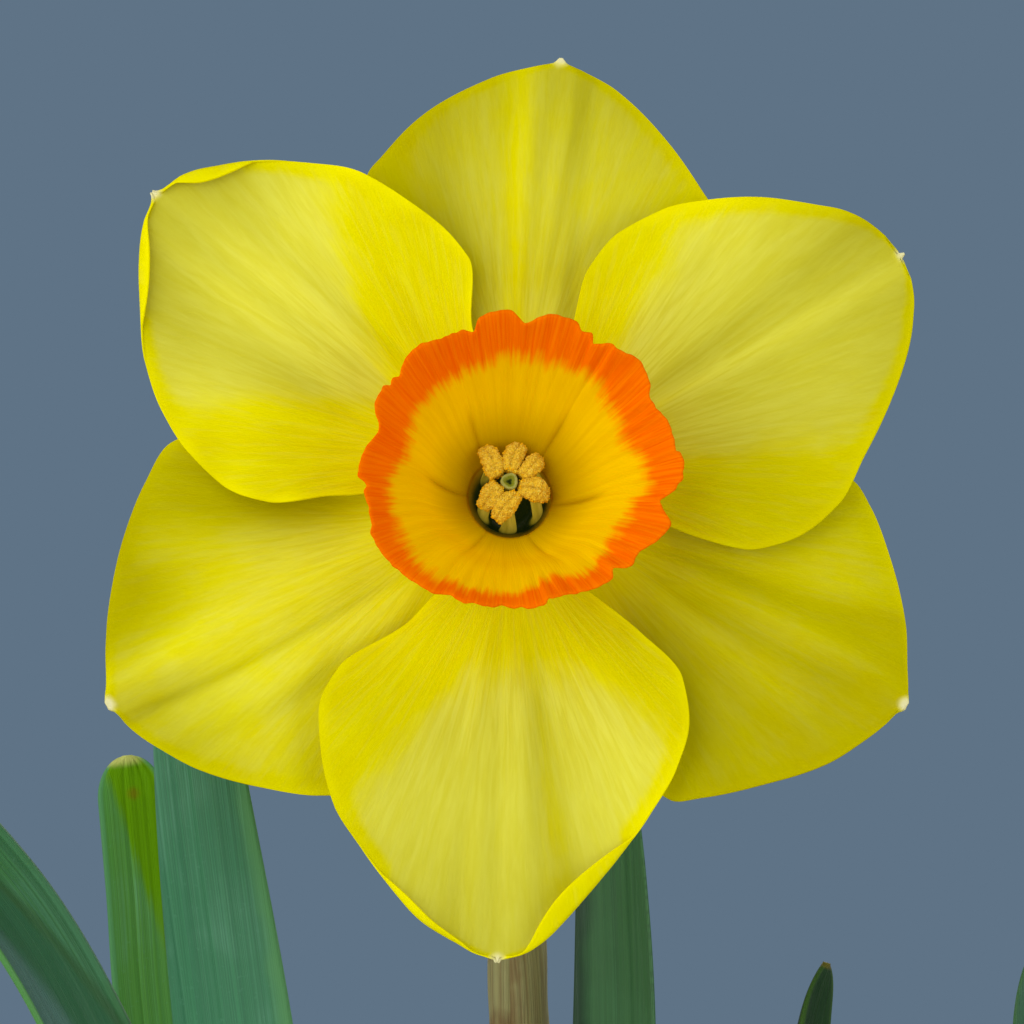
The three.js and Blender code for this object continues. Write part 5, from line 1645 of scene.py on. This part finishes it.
def make_bulb(name, bulb, seed):
    """Bulb with a ribbed papery skin and a ragged nose round the pocket of its shoot."""
    profile = bulb_outside(bulb, 0, bulb["nose"]) + [
        (bulb["pocket"], bulb["nose"]), (bulb["pocket"], POCKET_FLOOR), (0, POCKET_FLOOR),
    ]
    fine = soften(profile, 0.9, 1.0)

    def ribbed(rings, turns):
        out = np.hypot(rings[..., 0], rings[..., 1])
        skin_side = ease(out, bulb["pocket"] + 0.35, bulb["pocket"] + 1.2)
        z = rings[..., 2]
        rib = 0.16 * np.sin(17 * turns + seed + 0.05 * z) + 0.1 * np.sin(41 * turns + 2 * seed)
        rib = (rib + 0.5 * grit(rings, 5.0, seed)) * skin_side
        rib = rib * ease(z, bulb["foot"], bulb["foot"] + 6)
        rings = widened(rings, 1 + np.minimum(rib, 0.12) / np.maximum(out, 2))
        torn = ease(rings[..., 2], bulb["nose"] - 4, bulb["nose"])
        ragged = 0.8 * np.sin(7 * turns + seed) + 0.6 * np.sin(19 * turns + 2) - 0.6
        rings[..., 2] += ragged * torn * 0.7
        return rings

    piece = turned(name, fine, bulb["x"], bulb["y"], 120, ribbed)
    keep(piece, name, "tunic", tunic_finish())


def make_sheath(name, bulb_name, height):
    """Thin sheath round the foot of a shoot, flared a little, with a ragged slanting top."""
    bulb = BULBS[bulb_name]
    rows = np.linspace(0, 1, 44)[:, None]
    turns = -circle(110)[None]
    top = height * (1 + 0.22 * np.cos(turns - 0.8))
    rise = rows * (top + (0.35 * np.sin(13 * turns) + 0.3 * np.sin(29 * turns + 1)) * rows ** 6)
    reach = bulb["pocket"] - 0.85 + 1.1 * ease(rise, bulb["nose"] - POCKET_FLOOR, height)
    flutes = 0.1 * np.sin(16 * turns) + 0.06 * np.sin(33 * turns + rise * 0.2)
    reach = reach + flutes * ease(rise, 12, 17)
    points = np.stack((
        bulb["x"] + reach * np.cos(turns),
        bulb["y"] + reach * np.sin(turns),
        POCKET_FLOOR + SEAT_GAP + rise,
    ), -1)
    piece = sheet_piece(
        name, points, SHEATH_THICKNESS * (1 - 0.4 * rows) + 0 * turns, wrap=True,
        grain=ring_grain(turns, rise, 3), rim=top * (1 - rows) + 0 * turns,
    )
    finish = papery_finish(
        name.replace("_", " ") + " membrane", (222, 212, 168), (186, 180, 128),
        (142, 108, 66), 0.35,
    )
    keep(piece, name, "membrane", finish)


def cut(piece, cutter):
    """Cuts one closed piece out of another, and removes the cutter."""
    modifier = piece.modifiers.new("cut", "BOOLEAN")
    modifier.operation = "DIFFERENCE"
    modifier.solver = "EXACT"
    modifier.object = cutter
    old = piece.data
    piece.data = mesh_after(piece, modifier)
    bpy.data.meshes.remove(old)
    bpy.data.objects.remove(cutter)


def make_soil():
    """Lumpy soil with a pocket round each bulb, strewn with crumbs, clods, pale grit and bark."""
    slope = (POT_SHOULDER_RADIUS - POT_FOOT_RADIUS) / (POT_HEIGHT - POT_RIM_HEIGHT)

    def wall_at(z):
        return POT_FOOT_RADIUS - POT_WALL + slope * z - SEAT_GAP - 0.4

    edge = wall_at(SOIL_LEVEL)
    side = [
        (0, POT_FLOOR + SEAT_GAP), (wall_at(POT_FLOOR) - 4, POT_FLOOR + SEAT_GAP), (wall_at(20), 20),
        (wall_at(96), 96), (edge, SOIL_LEVEL - 3),
    ]
    side = soften(side, 2.5, 2.5)
    top = np.stack((edge * np.linspace(0.985, 0.0, 110), np.full(110, SOIL_LEVEL * 1.0)), -1)
    profile = np.vstack((side, top))

    def lumpy(rings, turns):
        x, y, z = rings[..., 0], rings[..., 1], rings[..., 2]
        upper = ease(z, SOIL_LEVEL - 2, SOIL_LEVEL - 0.1)
        lump = np.sin(0.31 * x + 1.3) * np.sin(0.27 * y) + 0.6 * np.sin(0.53 * x - 0.47 * y)
        clods = 1.5 * grit(rings, 6.5, 4.0, 4) + 0.5 * grit(rings, 1.6, 9.0, 2)
        rings[..., 2] = z + (SOIL_LUMP * lump + clods) * upper
        return rings

    soil = turned("soil", profile, 0, 0, 220, lumpy)
    for bulb in BULBS.values():
        mouth = SOIL_LEVEL + 20
        pocket = np.array(bulb_outside(bulb, SEAT_GAP, mouth) + [(0, mouth)], float)
        cut(soil, turned("pocket", soften(pocket, 1.5, 1.0), bulb["x"], bulb["y"], 96))
    ground = soil_finish("potting soil", (40, 27, 19), (70, 50, 36), 1500.0)
    corners = np.empty(len(soil.data.vertices) * 3)
    soil.data.vertices.foreach_get("co", corners)
    corners = corners.reshape(-1, 3) / MM
    clear = np.ones(len(corners))
    for bulb in BULBS.values():
        apart = np.hypot(corners[:, 0] - bulb["x"], corners[:, 1] - bulb["y"])
        clear *= ease(apart, bulb["neck"] + 2.0, bulb["neck"] + 3.2)
    clear *= 1 - ease(np.hypot(corners[:, 0], corners[:, 1]), edge - 2.2, edge - 1.2)
    clear *= ease(corners[:, 2], SOIL_LEVEL - 4, SOIL_LEVEL - 3)
    strewn = soil.data.attributes.new("strewn", "FLOAT", "POINT")
    strewn.data.foreach_set("value", clear)
    finishes = {
        "crumb": soil_finish("soil crumb", (48, 33, 23), (84, 61, 44), 1900.0),
        "grit": soil_finish("pale grit", (168, 156, 140), (206, 198, 184), 1900.0),
        "bark": soil_finish("bark crumb", (70, 42, 26), (112, 72, 46), 1200.0),
    }
    heaps = [strew(name, soil, *sizes, finishes[kind]) for name, kind, *sizes in SOIL_HEAPS]
    keep(soil, "soil", "earth", ground)
    for heap in heaps:
        keep(heap, "soil", "earth")


def make_pot():
    """Turned clay pot with a rolled rim band, faint turning lines and four drain holes."""
    shoulder = POT_HEIGHT - POT_RIM_HEIGHT
    profile = [
        (0, 0), (POT_FOOT_RADIUS - 2, 0), (POT_FOOT_RADIUS, 2), (POT_SHOULDER_RADIUS, shoulder),
        (POT_RIM_RADIUS - 3, shoulder + 0.6), (POT_RIM_RADIUS - 0.6, shoulder + 3),
        (POT_RIM_RADIUS, POT_HEIGHT - 3), (POT_RIM_RADIUS - 2.4, POT_HEIGHT),
        (POT_RIM_RADIUS - 5.6, POT_HEIGHT), (POT_RIM_RADIUS - 7.2, POT_HEIGHT - 1.8),
        (POT_SHOULDER_RADIUS - POT_WALL, shoulder - 8), (POT_FOOT_RADIUS - POT_WALL + 2, POT_FLOOR + 3),
        (POT_FOOT_RADIUS - POT_WALL - 2, POT_FLOOR), (0, POT_FLOOR),
    ]
    fine = soften(profile, 2.0, 1.6)
    close = soften(profile, 0.8, 1.6)
    near_rim = close[(close[:, 1] > shoulder - 3) & (close[:, 0] > POT_SHOULDER_RADIUS - POT_WALL)]
    below = fine[(fine[:, 1] <= shoulder - 3)]
    split = np.argmax(np.hypot(*(np.diff(below, axis=0).T)))
    fine = np.vstack((below[:split + 1], near_rim, below[split + 1:]))

    def turned_lines(rings, turns):
        z = rings[..., 2]
        out = np.hypot(rings[..., 0], rings[..., 1])
        outer = ease(out, POT_FOOT_RADIUS - 3, POT_FOOT_RADIUS)
        groove = 0.1 * np.sin(z * 1.15 + 0.4 * np.sin(turns)) + 0.07 * np.sin(z * 2.9 + turns)
        warp = 0.25 * np.sin(2 * turns + 0.5) * z / POT_HEIGHT
        return widened(rings, 1 + (groove * outer - 0.15 + warp * 0.4) / np.maximum(out, 20))

    pot = turned("pot", fine, 0, 0, 168, turned_lines, rim=POT_HEIGHT - fine[:, 1])
    for hole in range(DRAIN_HOLE_COUNT):
        turn = (hole + 0.5) * 2 * math.pi / DRAIN_HOLE_COUNT
        drill = np.array(((0, -8), (DRAIN_HOLE_RADIUS, -8), (DRAIN_HOLE_RADIUS, 18), (0, 18)), float)
        x, y = DRAIN_HOLE_RING * math.cos(turn), DRAIN_HOLE_RING * math.sin(turn)
        cut(pot, turned("drill", drill, x, y, 48))
    keep(pot, "pot", "clay", clay_finish())


make_camera()
make_studio()
make_floor(floor_finish())
for seed, (name, blade) in enumerate(TEPALS.items(), 1):
    make_tepal(name, blade, seed)
make_corona()
make_stamens()
make_filaments()
make_pistil()
make_tube()
make_stem()
make_spathe()
for seed, (name, leaf) in enumerate(LEAVES.items(), 1):
    make_leaf(name, leaf, seed)
for seed, (name, bulb) in enumerate(BULBS.items(), 1):
    make_bulb(name, bulb, seed)
for name, (bulb_name, height) in SHEATHS.items():
    make_sheath(name, bulb_name, height)
make_soil()
make_pot()
